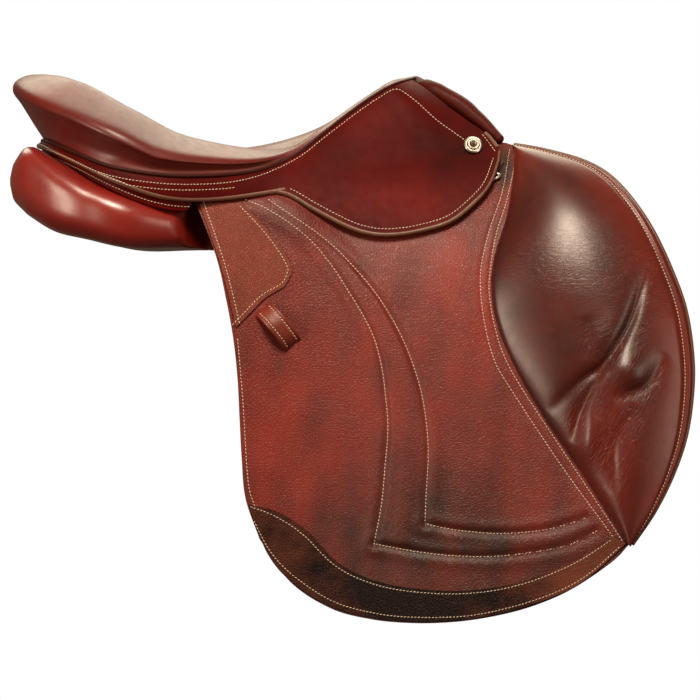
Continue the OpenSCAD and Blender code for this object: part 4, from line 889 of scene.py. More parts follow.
# %% Block piping
PIPING_R = 2.2
x, z = block_place(np.linspace(0.004, 0.996, 300), np.ones(300)).T
piping = tube("block_piping", over_flap(x, z, PIPING_R + 0.1), PIPING_R, EDGE_SIDES, side_normal(x, z))
pair("block_piping", piping, waxed_edge, "flap")

# %% [markdown]
# ## Hem and patch
# Where the flap wears, tougher hide with a pebble grain is sewn over it: a strip along the hem and a patch
# at the rear. They could be painted on the flap, but separate sheets have real edges, and follow the
# relief of the flap below them.

# %% Hem and patch
hem_upper = places([[.125, .721], [.188, .739], [.252, .78], [.318, .85], [.384, .89], [.474, .915],
                    [.61, .924], [.74, .906], [.868, .856], [.966, .795]])
hem_lower = places([[.136, .762], [.172, .845], [.225, .906], [.316, .963], [.41, .988], [.505, .996],
                    [.64, .989], [.776, .955], [.89, .903], [.992, .812]])
patch_top = places([[.008, .001], [.06, -.002], [.11, .001]])
patch_front = places([[.11, .001], [.165, .062], [.203, .115], [.221, .15], [.221, .17], [.205, .2]])
patch_bottom = places([[.094, .297], [.125, .264], [.16, .228], [.205, .2]])
patch_rear = places([[.008, .001], [.052, .13], [.075, .215], [.094, .297]])


def hem_place(t, s):
    return curve(hem_upper, t) * (1 - s)[..., None] + curve(hem_lower, t) * s[..., None]


def trim(q, top=True):
    """Point on a trim sewn over the flap: it follows the flap's own relief."""
    x, z = q[..., 0], q[..., 1]
    return over_flap(x, z, np.maximum(flap_relief(x, z), 0) + LAY + (TRIM_T if top else 0))


U, V = cells(steps(240, 0.004), steps(22, 0.02))
Q = hem_place(U, V)
hem_tone = 0.4 + 0.6 * np.exp(-((Q[..., 0] - 165) / 80)**2) - 0.6 * smooth((Q[..., 0] - 240) / 80)
pair("hem_hide", shell("hem_hide", trim(Q), trim(Q, False), hem_tone), grained_hem, "flap", ["hem_strip"])
U, V = cells(steps(44, 0.012), steps(56, 0.01))
Q = patch(patch_top, patch_bottom, patch_rear, patch_front, U, V)
pair("patch_hide", shell("patch_hide", trim(Q), trim(Q, False)), grained_patch, "flap", ["rear_patch"])

# %% [markdown]
# ## The keeper
# Below the patch, a small bowed strap keeps the loose end of the stirrup leather. A bent plane would do,
# but two arcs, for its upper and its lower face, give it the solid's bow. The upper one is raised along
# its edges and drawn down under two rows of stitches.

# %% Keeper
KEEPER_L, KEEPER_W, KEEPER_GAP, KEEPER_T = 45.0, 19.0, 8.0, 3.0
KEEPER_PLACE, KEEPER_TURN, KEEPER_LIFT, KEEPER_ROW = [0.1907, 0.2962], -51.0, 0.9, 0.6
kx, kz = places(KEEPER_PLACE)
k_out = side_normal(kx, kz)
k_fore = unit(np.array([2, side_w(kx - 1, kz) - side_w(kx + 1, kz), 0]))
k_up = np.cross(k_out, k_fore)
turn_k = np.radians(KEEPER_TURN)
k_long = k_fore * np.cos(turn_k) + k_up * np.sin(turn_k)
k_wide = k_up * np.cos(turn_k) - k_fore * np.sin(turn_k)
k_base = over_flap(kx, kz, KEEPER_LIFT)


def bow(s, span, rise):
    """Arc over a span: place along it and height, for s from 0 to 1."""
    r = (span * span / 4 + rise * rise) / (2 * rise)
    a = np.arcsin(span / 2 / r) * (2 * s - 1)
    return r * np.sin(a), r * np.cos(a) - r + rise


def keeper_point(s, w, top=True):
    along, high = bow(s, KEEPER_L - 2 * KEEPER_T, KEEPER_GAP)
    if top:
        along, high = bow(s, KEEPER_L, KEEPER_GAP + KEEPER_T)
        high = high + 1.1 * np.exp(-((np.abs(w) - 0.84) / 0.16)**2)
        high = high - 0.5 * np.exp(-((np.abs(w) - KEEPER_ROW) / 0.1)**2)
    place = k_base + k_long * along[..., None] + k_wide * (w * KEEPER_W / 2)[..., None]
    return place + k_out * high[..., None]


S, W = cells(np.linspace(0, 1, 48), np.linspace(-1, 1, 41))
pair("keeper_strap", shell("keeper_strap", keeper_point(S, W), keeper_point(S, W, False), bulge=0.6),
     calf_keeper, "flap", ["keeper"])

# %% [markdown]
# ## The panels
# Two long cushions of soft calf, stuffed with wool or foam, carry the saddle on either side of the horse's
# spine. A cloth simulation could blow them up. Rounded sections were chosen, wide behind and flat in front
# under the flap, because they keep to the solid. Its sections have 16 corners; here they are smooth, and
# the ends are closed with a dome.

# %% Panels
BILLET_X, BILLET_TOP_Z, BILLET_T, BILLET_INSET = 132.0, -2.0, 4.5, 24.0
WEB_T, SWEAT_T, SWEAT_ROOM, CHANNEL, PLANE_DROP = 2.5, 3.0, 0.2, 37.0, 290.0
BAR_BACK, BAR_BELOW, BAR_ROOM, BAR_T, BAR_GAP, BAR_FOOT, BAR_SEAT = 39.0, 18.0, 4.0, 7.0, 9.0, 3.0, 1.4
PANEL_SHARE, PANEL_BACK, PANEL_AHEAD = 0.393, 21.0, 28.0
PANEL_A, PANEL_B = PANEL_SHARE * SEAT_W / 2, 31.0
PANEL_REAR, PANEL_FRONT = WELT_REAR - PANEL_BACK, FOLD_FRONT[0] + PANEL_AHEAD
PANEL_ROOM, PANEL_TUCK, PANEL_EASE, POINT_DEPTH, POINT_ROOM, SWEAT_INSET = 2.0, 30.0, 90.0, 8.0, 6.0, 17.5
# Each section: place along the panel, way out, level in millimetres, half width, half thickness, tilt
PANEL = np.array([[0, .62, 67, .16, .2, 0], [.003, .62, 67.5, .3, .42, 1], [.008, .63, 68, .44, .66, 2],
                  [.024, .68, 68, .6, .93, 1], [.042, .745, 63, .695, 1.01, 1], [.09, .87, 49, .86, 1, 2],
                  [.15, .96, 42, .96, .97, 6], [.24, 1, 34, 1, .92, 12], [.38, .75, 28, .75, .7, 18],
                  [.54, .62, 25, .62, .7, 28], [.7, .6, 36, .72, .62, 48], [.86, .56, 42, .8, .48, 60],
                  [.96, .56, 45, .68, .4, 62], [1, .58, 48, .4, .2, 62]])
billet_top_w = side_w(BILLET_X, BILLET_TOP_Z) - BILLET_INSET
billet_slope = (side_w(BILLET_X, BILLET_TOP_Z - PLANE_DROP) - BILLET_INSET - billet_top_w) / PLANE_DROP
bar_x = NAIL_X - BAR_BACK
bar_z = fold_z(bar_x) - BAR_BELOW
bar_cos = -side_normal(bar_x, bar_z)[1]
POINT_INSET = SKIRT_T + BAR_ROOM + BAR_T / 2 + (BAR_T / 2 + BAR_GAP + BAR_FOOT + BAR_SEAT) / bar_cos


def sweat_w(x, z):
    plane = billet_top_w + billet_slope * (BILLET_TOP_Z - z) - (BILLET_T + 2 * LAY + WEB_T + SWEAT_ROOM)
    return np.minimum(side_w(x, z) - SWEAT_INSET, plane)


def panel_ring(t, sides=72):
    p = curve(PANEL, np.array([t]))[0]
    a = np.linspace(0, 2 * np.pi, sides, endpoint=False)
    x = PANEL_REAR + (PANEL_FRONT - PANEL_REAR) * p[0]
    square = 0.8 - 0.1 * smooth((-60 - x) / 60)
    g = np.sign(np.cos(a)) * np.abs(np.cos(a))**square * p[3] * PANEL_A
    h = np.sign(np.sin(a)) * np.abs(np.sin(a))**square * p[4] * PANEL_B
    fuller = (1 + 0.26 * np.exp(-((x + 188) / 30)**2)) * (0.78 + 0.22 * smooth((x - PANEL_REAR) / 24))
    h = np.where(h > 0, h * fuller, h)
    tilt = np.radians(p[5])
    w = CHANNEL + PANEL_A * p[1] + g * np.cos(tilt) + h * np.sin(tilt)
    z = p[2] - g * np.sin(tilt) + h * np.cos(tilt)
    room = POINT_INSET + POINT_DEPTH / bar_cos + POINT_ROOM
    under_flap = side_w(x, z) - (PANEL_TUCK + (room - PANEL_TUCK) * smooth(x / PANEL_EASE))
    limit = np.minimum(under_flap, sweat_w(x, z) - SWEAT_T - PANEL_ROOM)
    limit = limit + 2.5 * max(0, -45 - x)
    return np.stack([np.full(sides, x), -np.maximum(CHANNEL - 4, np.minimum(w, limit)), z], -1)


def dome(ring, ahead, count=6):
    """Rings that close the end of a cushion."""
    middle = ring.mean(0)
    turns = np.linspace(0, np.pi / 2, count + 1)[1:]
    return [middle + (ring - middle) * max(np.cos(q), 0.02) + ahead * np.sin(q) for q in turns]


rings = [panel_ring(t) for t in np.linspace(0, 1, 150)]
rings = dome(rings[0], np.array([-0.6, 0, 0]))[::-1] + rings + dome(rings[-1], np.array([2.5, 0, 0]))
pair("panel_cushion", closed_loft("panel_cushion", rings), calf_panel, "saddle", ["panel"])

# %% [markdown]
# ## The facing strip
# A folded strip covers the seam between band and panel round the back. A bevelled curve could follow the
# seam, but the strip is flat, so it is a sheet on the band's lower line, with rounded ends and a slight
# roll. It is one piece round the cantle, as on the solid.

# %% Facing strip
FACING_RIB = BAND_RIB + 1.35
STRIP_HALF, STRIP_LOW, STRIP_T, STRIP_INSET = 7.0, 4.0, 3.0, SKIRT_T + 2
strip_u, strip_hand = round_cantle(FACING_RIB, 150)
strip_way = np.linalg.norm(welt(strip_u) - welt(np.array([FACING_RIB])), axis=1)
strip_end = np.sqrt(1 - (1 - np.clip(strip_way / STRIP_HALF + 0.03, 0, 1))**2)


def strip_point(v, inset):
    base = curve_at(LOWER, strip_u) - rib_out(strip_u) * inset
    level = STRIP_HALF * strip_end[:, None] * (1 - 2 * v) - STRIP_LOW
    return (base[:, None] + UP * level[..., None]) * strip_hand[:, None]


strip_v = steps(9, 0.05)
strip_roll = (rib_out(strip_u) * strip_hand)[:, None] * (1.2 * np.sin(np.pi * strip_v))[:, None]
outer = strip_point(strip_v, STRIP_INSET) + strip_roll
strip_mesh = shell("facing_strip", outer, strip_point(strip_v, STRIP_INSET + STRIP_T), bulge=0.7)
piece("facing_strip", strip_mesh, calf_skirt, "saddle", ["rear_facing"])

# %% [markdown]
# ## The roll over the pommel
# A padded roll lines the front of the arch, inside the skirts, and is fullest beside the pommel. A
# bevelled curve with a radius at each point could make it. Rings along an axis do the same, and the axis
# comes from the skirt's own function, so that the roll lies along the skirt's edge.

# %% Pommel roll
AHEAD = unit(np.array([0.75, 0, 0.66]))
ROLL_R, ROLL_ROOM, ROLL_FRONT, ROLL_END = 7.0, 2.7, 6.0, 0.9


def roll_axis(t):
    p = skirt_point(np.zeros_like(t), ROLL_END * t, SKIRT_T + ROLL_ROOM + ROLL_R) + AHEAD * ROLL_FRONT
    return p * np.stack([np.ones_like(t), smooth(5 * t), np.ones_like(t)], -1)


roll_t = np.linspace(-1, 1, 121)
roll_hand = np.where(roll_t[:, None] > 0, MIRROR, 1.0)
axis = roll_axis(np.abs(roll_t)) * roll_hand
along = unit(np.gradient(axis, axis=0))
across = unit(np.cross(along, AHEAD))
turns = np.linspace(0, 2 * np.pi, 24, endpoint=False)
stuffed = np.interp(np.abs(roll_t), [0, .1, .2, .4, .6, .8, 1], [1, 4.3, 6.6, 5.5, 3, 3.5, 3.5])[:, None]
axis = axis + AHEAD * stuffed / 2
thick = ROLL_R + 1.5 * (1 - smooth(np.abs(roll_t) / 0.25)) - 4.0 * smooth((np.abs(roll_t) - 0.5) / 0.5)
thick = thick[:, None, None] + stuffed[..., None] / 2
rings = axis[:, None] + thick * (AHEAD * np.cos(turns)[:, None] + across[:, None] * np.sin(turns)[:, None])
ends = [dome(rings[0], unit(axis[0] - axis[1]) * 4)[::-1], dome(rings[-1], unit(axis[-1] - axis[-2]) * 4)]
piece("pommel_roll", closed_loft("pommel_roll", ends[0] + list(rings) + ends[1]), calf_facing, "saddle",
      ["pommel_facing"])

# %% [markdown]
# ## Linings
# Under the flap, a sweat flap lies between billets and horse, and a lining joins the panels over the
# channel. Bent planes would do for both, but the solids' own curves are at hand: one is a patch on the
# sweat flap's plane, the other an arched strip.

# %% Linings
sweat = [places(edge) for edge in (
    [[.14, .085], [.3, .05], [.5, .02], [.69, -.005]], [[.26, .72], [.4, .8], [.6, .8], [.82, .68]],
    [[.14, .085], [.16, .3], [.19, .55], [.26, .72]], [[.69, -.005], [.78, .16], [.83, .4], [.82, .68]])]
U, V = cells(steps(70, 0.01), steps(70, 0.01))
Q = patch(*sweat, U, V)
W = sweat_w(Q[..., 0], Q[..., 1])
layer = lambda inset: np.stack([Q[..., 0], inset - W, Q[..., 1]], -1)
pair("sweat_leaf", shell("sweat_leaf", layer(0.0), layer(SWEAT_T)), lining, "saddle", ["sweat_flap"])

levels = curve([[.08, 60], [.24, 46], [.38, 38], [.54, 42], [.66, 50]], np.linspace(0, 1, 90))
S = np.linspace(-1, 1, 25)
roof_x = PANEL_REAR + (PANEL_FRONT - PANEL_REAR) * levels[:, :1]
ROOF_CROWN, ROOF_T = 4.0, 2.5
roof_z = levels[:, 1:] + ROOF_CROWN * (1 - S**2)
roof = lambda under: np.stack(np.broadcast_arrays(roof_x, S * CHANNEL, roof_z - under), -1)
piece("channel_cover", shell("channel_cover", roof(0.0), roof(ROOF_T)), lining, "saddle",
      ["channel_lining"])

# %% [markdown]
# ## Inside the seat
# Under the seat lies foam, cut thin at its edge and 12 mm thick in the middle. It could be copied from the
# seat's mesh, but the seat's own function gives both its faces at any depth.

# %% Foam
FOAM_TOP, FOAM_T, FOAM_EDGE_T = SEAT_T + LAY, 12.0, 4.0
foam_u = np.linspace(LAST * 3 / 22, LAST, 90)
foam_v = np.linspace(7 / 12, 1, 20)


def foam_layer(edge, middle):
    half = np.stack([seat_point(foam_u, np.array([v]), edge + (middle - edge) * k)[:, 0]
                     for v, k in zip(foam_v, np.linspace(0, 1, 20))], 1)
    return both_halves(half)


def plain(name, tone, rough, metal=0.0, scratch_mm=None):
    """Material of one colour, with fine scratches in its gloss if they are asked for."""
    made = bpy.data.materials.new(name)
    made.use_nodes = True
    tree = made.node_tree
    skin = tree.nodes["Principled BSDF"]
    skin.inputs["Base Color"].default_value = colour(tone)
    skin.inputs["Metallic"].default_value = metal
    skin.inputs["Roughness"].default_value = rough
    if scratch_mm:
        place = add(tree, "ShaderNodeTexCoord").outputs["Object"]
        noise = add(tree, "ShaderNodeTexNoise",
                    {"Vector": place, "Scale": 1 / (scratch_mm * MM), "Detail": 3.0})
        worn = add(tree, "ShaderNodeMapRange",
                   {"Value": noise, "To Min": rough - 0.08, "To Max": rough + 0.16})
        tree.links.new(worn.outputs[0], skin.inputs["Roughness"])
    return made


# Cut foam is pale yellow and quite matt
foam = plain("polyurethane foam, cut", "#d9cfa8", 0.95)
outer, inner = foam_layer(FOAM_TOP, FOAM_TOP), foam_layer(FOAM_TOP + FOAM_EDGE_T, FOAM_TOP + FOAM_T)
piece("foam_pad", shell("foam_pad", outer, inner, skip=("last",)), foam, "saddle", ["seat_foam"])

# %% [markdown]
# A webbing belt from head to cantle carries the foam, and leather pockets hold the tree's points. A weave
# could be modelled thread by thread, but at this size a pattern of slanting ridges looks the same.

# %% Webbing and pockets
BELT_HALF, BELT_T, BELT_ROOM, BELT_FALL = 26.0, 2.0, 0.4, 5.0
POCKET_BACK, POCKET_HALF, POCKET_TOP, POCKET_DROP, POCKET_T, POCKET_ROOM = 9.0, 21.0, 48.0, 20.0, 2.5, 1.2


def woven(name, light, dark, thread_mm):
    """Webbing: slanting ridges of thread, light and dark in turn."""
    made = bpy.data.materials.new(name)
    made.use_nodes = True
    tree = made.node_tree
    skin = tree.nodes["Principled BSDF"]
    place = add(tree, "ShaderNodeTexCoord").outputs["Object"]
    weave = add(tree, "ShaderNodeTexWave",
                {"Vector": place, "Scale": 0.314 / (thread_mm * MM), "Distortion": 0.4},
                bands_direction="DIAGONAL")
    tint = add(tree, "ShaderNodeMix",
               {0: weave.outputs["Fac"], 6: colour(light), 7: colour(dark)}, data_type="RGBA")
    bump = add(tree, "ShaderNodeBump",
               {"Height": weave.outputs["Fac"], "Strength": 0.5, "Distance": 0.4 * MM})
    tree.links.new(tint.outputs[2], skin.inputs["Base Color"])
    tree.links.new(bump.outputs[0], skin.inputs["Normal"])
    skin.inputs["Roughness"].default_value = 0.9
    return made


web = woven("cotton and nylon webbing, woven", "#d8cdb0", "#a8997a", 2.5)
web_u = np.linspace(1.6, LAST, 120)
spine = seat_point(web_u, np.array([1.0]))[:, 0]
fall = BELT_FALL * np.exp(-((web_u - 4.5) / 2)**2)
S = np.linspace(-1, 1, 17)
belt_z = spine[:, 2:] - (FOAM_TOP + FOAM_T + BELT_ROOM) - np.abs(S) * fall[:, None]
belt = lambda under: np.stack(np.broadcast_arrays(spine[:, :1], S * BELT_HALF, belt_z - under), -1)
piece("web_belt", shell("web_belt", belt(0.0), belt(BELT_T)), web, "saddle", ["seat_web"])
pocket_x = NAIL_X - POCKET_BACK + np.linspace(-POCKET_HALF, POCKET_HALF, 24)
X, Z = cells(pocket_x, POCKET_TOP - np.linspace(0, POCKET_DROP, 14))
pocket = lambda inset: on_side(X, Z, POINT_INSET - POCKET_ROOM - POCKET_T + inset)
pair("pocket_leaf", shell("pocket_leaf", pocket(0.0), pocket(POCKET_T)), lining, "saddle", ["point_pocket"])

# %% [markdown]
# ## Tree, bars and fittings
# The tree is laminated beech and steel; the stirrup bars, catches and dees are forged or bent steel,
# plated. Billets and guards are cut from bridle leather. These solids are exact already, so making them
# again would add nothing: they only get their materials, and the straps a small rounding of their edges.

# %% Wood and metal
# Beech is pale brown and dull; pressed steel is grey and soft in its gloss; nickel is bright and warm
beech = plain("beech plywood, moulded", "#b99a6b", 0.6, 0.0, 3)
steel = plain("steel, pressed", "#8d8f92", 0.42, 1.0, 4)
nickel = plain("steel, nickel plated", "#d9d4ca", 0.3, 1.0)
# The nail's head is painted dark in its middle, inside a bright ring: a painted dark reflection
nail_steel = plain("steel, nickel plated, painted dark reflection", "#d9d4ca", 0.3, 1.0)
low, high = (np.array(corner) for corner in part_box("head_nail_right"))
tree = nail_steel.node_tree
place = add(tree, "ShaderNodeTexCoord").outputs["Object"]
flat = add(tree, "ShaderNodeVectorMath", {0: place, 1: ((low + high) / 2).tolist()}, operation="SUBTRACT")
flat = add(tree, "ShaderNodeVectorMath", {0: flat, 1: (1.0, 0.0, 1.0)}, operation="MULTIPLY")
far = add(tree, "ShaderNodeVectorMath", {0: flat}, operation="LENGTH")
ring = add(tree, "ShaderNodeMapRange",
           {"Value": far.outputs["Value"], "From Min": 2.2 * MM, "From Max": 3.4 * MM})
tint = add(tree, "ShaderNodeMix", {0: ring, 6: colour("#46362a"), 7: colour("#d9d4ca")}, data_type="RGBA")
tree.links.new(tint.outputs[2], tree.nodes["Principled BSDF"].inputs["Base Color"])
# Waxed linen is pale and dull
thread = plain("linen thread, waxed", "#ecd6c0", 0.6)
straps = ("billet_front", "billet_middle", "billet_rear", "buckle_guard", "dee_chape")
dressed = {"tree_rails": beech, "tree_head": beech, "gullet_plate": steel, "head_rivets": steel}
for side in ("right", "left"):
    dressed.update({f"{n}_{side}": nickel for n in ("stirrup_bar", "bar_catch", "dee_ring")})
    dressed[f"head_nail_{side}"] = nail_steel
    dressed.update({f"{n}_{side}": bridle for n in straps})
    dressed[f"girth_web_{side}"] = web
for name, material in dressed.items():
    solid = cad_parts[name]
    solid.data.materials.clear()
    solid.data.materials.append(material)
    if material is bridle:
        solid.modifiers.new("weld", "WELD").merge_threshold = 0.01 * MM
        round_edge = solid.modifiers.new("round", "BEVEL")
        round_edge.width, round_edge.segments, round_edge.limit_method = 0.7 * MM, 2, "ANGLE"
print("solids dressed:", len(dressed))

# %% [markdown]
# ## Stitches
# Saddles are sewn with waxed linen, about eight stitches to the inch. An Array and a Curve modifier could
# repeat a stitch along a row, but each row would need its own set of them. So each row is a path of points
# with the leather's own direction stored on it, and one Geometry Nodes tree cuts the path into equal
# stitches and lays a short thread on each cut, turned a little across the row as a saddle stitch is.

# %% Stitch tree
STITCH = {"Pitch": 3.3, "Length": 2.6, "Width": 0.85}
sewing = bpy.data.node_groups.new("stitches", "GeometryNodeTree")
sewing.interface.new_socket("Geometry", in_out="INPUT", socket_type="NodeSocketGeometry")
for name in STITCH:
    sewing.interface.new_socket(name, in_out="INPUT", socket_type="NodeSocketFloat")
sewing.interface.new_socket("Thread", in_out="INPUT", socket_type="NodeSocketMaterial")
sewing.interface.new_socket("Geometry", in_out="OUTPUT", socket_type="NodeSocketGeometry")
given = add(sewing, "NodeGroupInput")
path = add(sewing, "GeometryNodeMeshToCurve", {"Mesh": given.outputs["Geometry"]})
cut = add(sewing, "GeometryNodeResampleCurve",
          {"Curve": path, "Length": given.outputs["Pitch"]}, mode="LENGTH")
ball = add(sewing, "GeometryNodeMeshUVSphere", {"Segments": 8, "Rings": 5, "Radius": 0.5})
size = add(sewing, "ShaderNodeCombineXYZ",
           {"X": given.outputs["Length"], "Y": given.outputs["Width"], "Z": given.outputs["Width"]})
strand = add(sewing, "GeometryNodeTransform", {"Geometry": ball, "Scale": size})
up = add(sewing, "GeometryNodeInputNamedAttribute", {"Name": "up"}, data_type="FLOAT_VECTOR")
tangent = add(sewing, "GeometryNodeInputTangent")
turned = add(sewing, "FunctionNodeAxesToRotation",
             {0: tangent, 1: up}, primary_axis="X", secondary_axis="Z")
slant = add(sewing, "FunctionNodeRotateRotation", {0: turned, 1: (0, 0, 0.18)}, rotation_space="LOCAL")
laid = add(sewing, "GeometryNodeInstanceOnPoints", {"Points": cut, "Instance": strand, "Rotation": slant})
real = add(sewing, "GeometryNodeRealizeInstances", {0: laid})
dyed = add(sewing, "GeometryNodeSetMaterial", {"Geometry": real, "Material": given.outputs["Thread"]})
add(sewing, "NodeGroupOutput", {"Geometry": dyed})
print("stitch tree:", len(sewing.nodes), "nodes")


def sew(name, rows):
    """Plain mesh of the stitches along rows of points and outward directions, in millimetres."""
    points, ups, edges = [], [], []
    for way, outward in rows:
        first = len(points)
        points += (np.asarray(way) * MM).tolist()
        ups += np.broadcast_to(outward, np.shape(way)).tolist()
        edges += [(first + k, first + k + 1) for k in range(len(way) - 1)]
    paths = bpy.data.meshes.new(name + "_paths")
    paths.from_pydata(points, edges, [])
    paths.attributes.new("up", "FLOAT_VECTOR", "POINT").data.foreach_set("vector", np.ravel(ups))
    holder = bpy.data.objects.new(name + "_paths", paths)
    bpy.context.collection.objects.link(holder)
    machine = holder.modifiers.new("stitches", "NODES")
    machine.node_group = sewing
    for item in sewing.interface.items_tree:
        if item.in_out == "INPUT" and item.name in STITCH:
            machine[item.identifier] = STITCH[item.name] * MM
        elif item.name == "Thread":
            machine[item.identifier] = thread
    mesh = bpy.data.meshes.new_from_object(holder.evaluated_get(bpy.context.evaluated_depsgraph_get()))
    bpy.data.objects.remove(holder)
    mesh.name = name
    mesh.polygons.foreach_set("use_smooth", [True] * len(mesh.polygons))
    return mesh

# %% [markdown]
# The rows follow the photo: two round the flap's channel, two along the block's seam, and one inside every
# edge of hem, patch and block. Short rows hold the flap's rear edge and the keeper. Points are taken from
# the same functions as the leather, so that every stitch lies on it.

# %% Stitch rows of the flap
ROW, THREAD_LIFT = 200, 0.2


def normal_of(surface, u, v, toward):
    a = surface(u + 1e-3, v) - surface(u - 1e-3, v)
    b = surface(u, v + 1e-3) - surface(u, v - 1e-3)
    n = unit(np.cross(a, b))
    return n * np.sign(np.sum(n * toward, -1, keepdims=True))


def flap_row(line):
    x, z = even(line, ROW).T
    return over_flap(x, z, flap_relief(x, z) + 0.25), side_normal(x, z)


def trim_row(line):
    q = even(line, ROW)
    out = side_normal(*q.T)
    return trim(q) + out * THREAD_LIFT, out


def beside(line, mm):
    """Points along a line, moved to its left as the camera sees it."""
    q = even(line, ROW)
    ahead = unit(np.gradient(q, axis=0))
    return q + mm * np.stack([-ahead[:, 1], ahead[:, 0]], -1)


def block_surface(u, v):
    x, z = block_place(u, v).T
    return over_flap(x, z, block_height(u, v) + calm(v) * block_relief(x, z)[0] - 1.2)


rows = [flap_row(line) for name, line in LINES.items() if name != "rear"]
rows.append(flap_row(LINES["rear"][5:]))
t = np.linspace(0.008, 0.985, ROW)
rows += [trim_row(hem_place(t, np.full(ROW, s))) for s in (0.1, 0.88)]
rows.append(trim_row(beside(np.vstack([patch_front, patch_bottom[::-1][1:]]), -4)))
rows.append(trim_row(beside(patch_rear, 4)[:-6]))
t = np.linspace(0.08, 0.92, 40)
rows += [(keeper_point(t, np.full(40, w)) + k_out * THREAD_LIFT, k_out) for w in (-KEEPER_ROW, KEEPER_ROW)]
t = np.linspace(0.01, 0.99, 260)
edge_v = np.full(260, SEWN_V)
out = normal_of(block_surface, t, edge_v, OUTWARD)
rows.append((block_surface(t, edge_v) + out * THREAD_LIFT, out))
pair("flap_stitches", sew("flap_stitches", rows), None, "flap")

# %% [markdown]
# The skirt has one row inside the lobe's edge, one below the welt that ends at the head nail, one more on
# the band, one on the strip round the back and a short one at the front edge. The lobe's row is a mesh of
# its own, as it lifts with the lobe.

# %% Stitch rows of the skirt
share, drop = curve(LOBE, fine).T
x, drop = even(np.stack([along_fold(share), drop], -1), 260).T
q = beside(np.stack([x, fold_z(x) - drop * LOBE_DROP], -1), 5.5)
x, z = q[q[:, 1] < fold_z(q[:, 0]) - 0.5].T
pair("lobe_stitches", sew("lobe_stitches", [(on_side(x, z, -0.15), side_normal(x, z))]), None, "skirt_lobe")


def skirt_row(u, v):
    out = normal_of(skirt_point, u, v, skirt_out(u, v))
    return skirt_point(u, v) + out * THREAD_LIFT, out


def below_welt(u, mm):
    low = curve_at(LOWER, u)
    return np.clip((mm - SKIRT_HEAD) / (np.linalg.norm(low - welt(u), axis=-1) - SKIRT_HEAD), 0, 0.95)


u = np.linspace(10.9, 2.2, 300)
top_row = np.stack([u, below_welt(u, 7 + 3.5 * smooth((u - 5) / 2))], -1)
to_nail = np.array([[1.8, .048], [1.435, .046], [1.155, .07], [1.065, .13], [.97, .28], [.915, .415],
                    [.84, .542], [.69, .678], [.55, .815]])
top_row = np.vstack([top_row, even(np.vstack([top_row[-1:], to_nail]), 80)[1:]])
u = np.linspace(6.6, 9.3, 120)
skirt_rows = [skirt_row(top_row[:, 0], top_row[:, 1]), skirt_row(u, below_welt(u, 15.5))]
u = np.linspace(FACING_RIB + 0.06, LAST - 0.05, 200)
strip_row = curve_at(LOWER, u) - rib_out(u) * (STRIP_INSET - 1.4) - UP * (STRIP_LOW + 0.44 * STRIP_HALF)
skirt_rows.append((strip_row, rib_out(u)))
skirt_rows.append(skirt_row(np.full(30, 0.1), np.linspace(0.8, 0.985, 30)))
pair("skirt_stitches", sew("skirt_stitches", skirt_rows), None, "saddle")

# %% [markdown]
# ## Light and ground
# Four soft boxes light the saddle: a warm one above the camera, a tall one at the left, a weak one at the
# right and a wide pale yellow one behind, which lays the sheen on the seat. A studio picture for a
# background could do the same, but lamps can be set one by one.

# %% Lamps
def soft_box(name, place, target, size, watts, tint=(1.0, 0.84, 0.66)):
    lamp = bpy.data.objects.new(name, bpy.data.lights.new(name, "AREA"))
    bpy.context.collection.objects.link(lamp)
    lamp.data.shape, lamp.data.size, lamp.data.size_y = "RECTANGLE", size[0], size[1]
    lamp.data.energy, lamp.data.color = watts, tint
    lamp.location = place
    way = np.array(target) - np.array(place)
    tip = np.arctan2(np.hypot(way[0], way[1]), -way[2])
    lamp.rotation_euler = (tip, 0, np.arctan2(way[1], way[0]) - np.pi / 2)


soft_box("above_front", (0.0, -1.68, 1.85), (0.1, -0.15, -0.05), (0.8, 0.8), 58)
soft_box("left", (-1.95, -1.75, 0.15), (0.0, -0.1, -0.05), (0.5, 1.5), 28)
soft_box("behind", (0.0, 1.45, 1.6), (0.0, 0.0, 0.1), (3.2, 1.45), 46, (1.0, 0.97, 0.74))
soft_box("right", (2.2, -1.8, 0.3), (0.2, -0.1, -0.1), (0.7, 1.4), 10)
print("lamps:", len(bpy.data.lights))

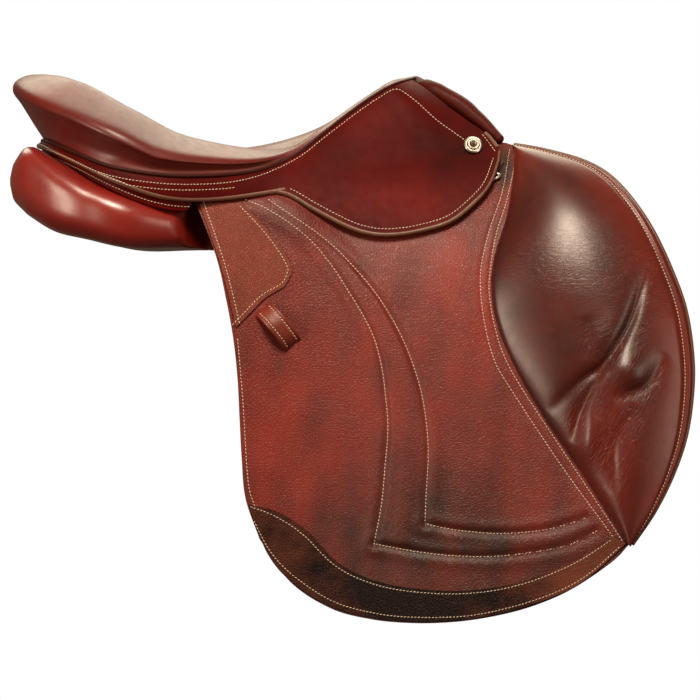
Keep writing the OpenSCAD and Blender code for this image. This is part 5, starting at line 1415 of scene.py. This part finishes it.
# %% [markdown]
# The world is white where the camera sees it, straight or through something clear, and dim and warm to
# everything else, so that dark leather stays dark. An empty white room would wash it out. The floor lies
# well below the flaps and is pale to the camera alone, so that it throws little light back up.

# %% World and floor
world = bpy.data.worlds.new("studio") if bpy.context.scene.world is None else bpy.context.scene.world
bpy.context.scene.world = world
world.use_nodes = True
sky = world.node_tree
sky.nodes.clear()
ray = add(sky, "ShaderNodeLightPath")
seen = add(sky, "ShaderNodeMath",
           {0: ray.outputs["Is Camera Ray"], 1: ray.outputs["Is Transmission Ray"]}, operation="MAXIMUM")
tint = add(sky, "ShaderNodeMix", {0: seen, 6: (0.12, 0.09, 0.065, 1), 7: (1, 1, 1, 1)}, data_type="RGBA")
white = add(sky, "ShaderNodeBackground", {"Color": tint.outputs[2]})
add(sky, "ShaderNodeOutputWorld", {"Surface": white})

FLOOR_HALF, FLOOR_Z = 2.5, -1.4
floor_mesh = bpy.data.meshes.new("floor")
corners = [(-1, -1), (1, -1), (1, 1), (-1, 1)]
floor_mesh.from_pydata([(x * FLOOR_HALF, y * FLOOR_HALF, FLOOR_Z) for x, y in corners], [], [(0, 1, 2, 3)])
floor = bpy.data.objects.new("floor", floor_mesh)
bpy.context.collection.objects.link(floor)
paper = plain("paper backdrop, matt", "#f4f3f1", 0.9)
ray = add(paper.node_tree, "ShaderNodeLightPath")
tone = add(paper.node_tree, "ShaderNodeMix",
           {0: ray.outputs["Is Camera Ray"], 6: colour("#3c3a38"), 7: colour("#f4f3f1")}, data_type="RGBA")
paper.node_tree.links.new(tone.outputs[2], paper.node_tree.nodes["Principled BSDF"].inputs["Base Color"])
floor_mesh.materials.append(paper)
floor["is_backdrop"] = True
bpy.context.scene.view_settings.view_transform = "Standard"

# %% [markdown]
# ## Sizes
# The box round all the finished pieces is worked out. The finished pieces must stay close to
# the box of the solids.

# %% Box of the pieces
lo, hi = np.full(3, 1e9), np.full(3, -1e9)
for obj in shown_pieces():
    data = np.empty(3 * len(obj.data.vertices), np.float32)
    obj.data.vertices.foreach_get("co", data)
    lo, hi = np.minimum(lo, data.reshape(-1, 3).min(0)), np.maximum(hi, data.reshape(-1, 3).max(0))
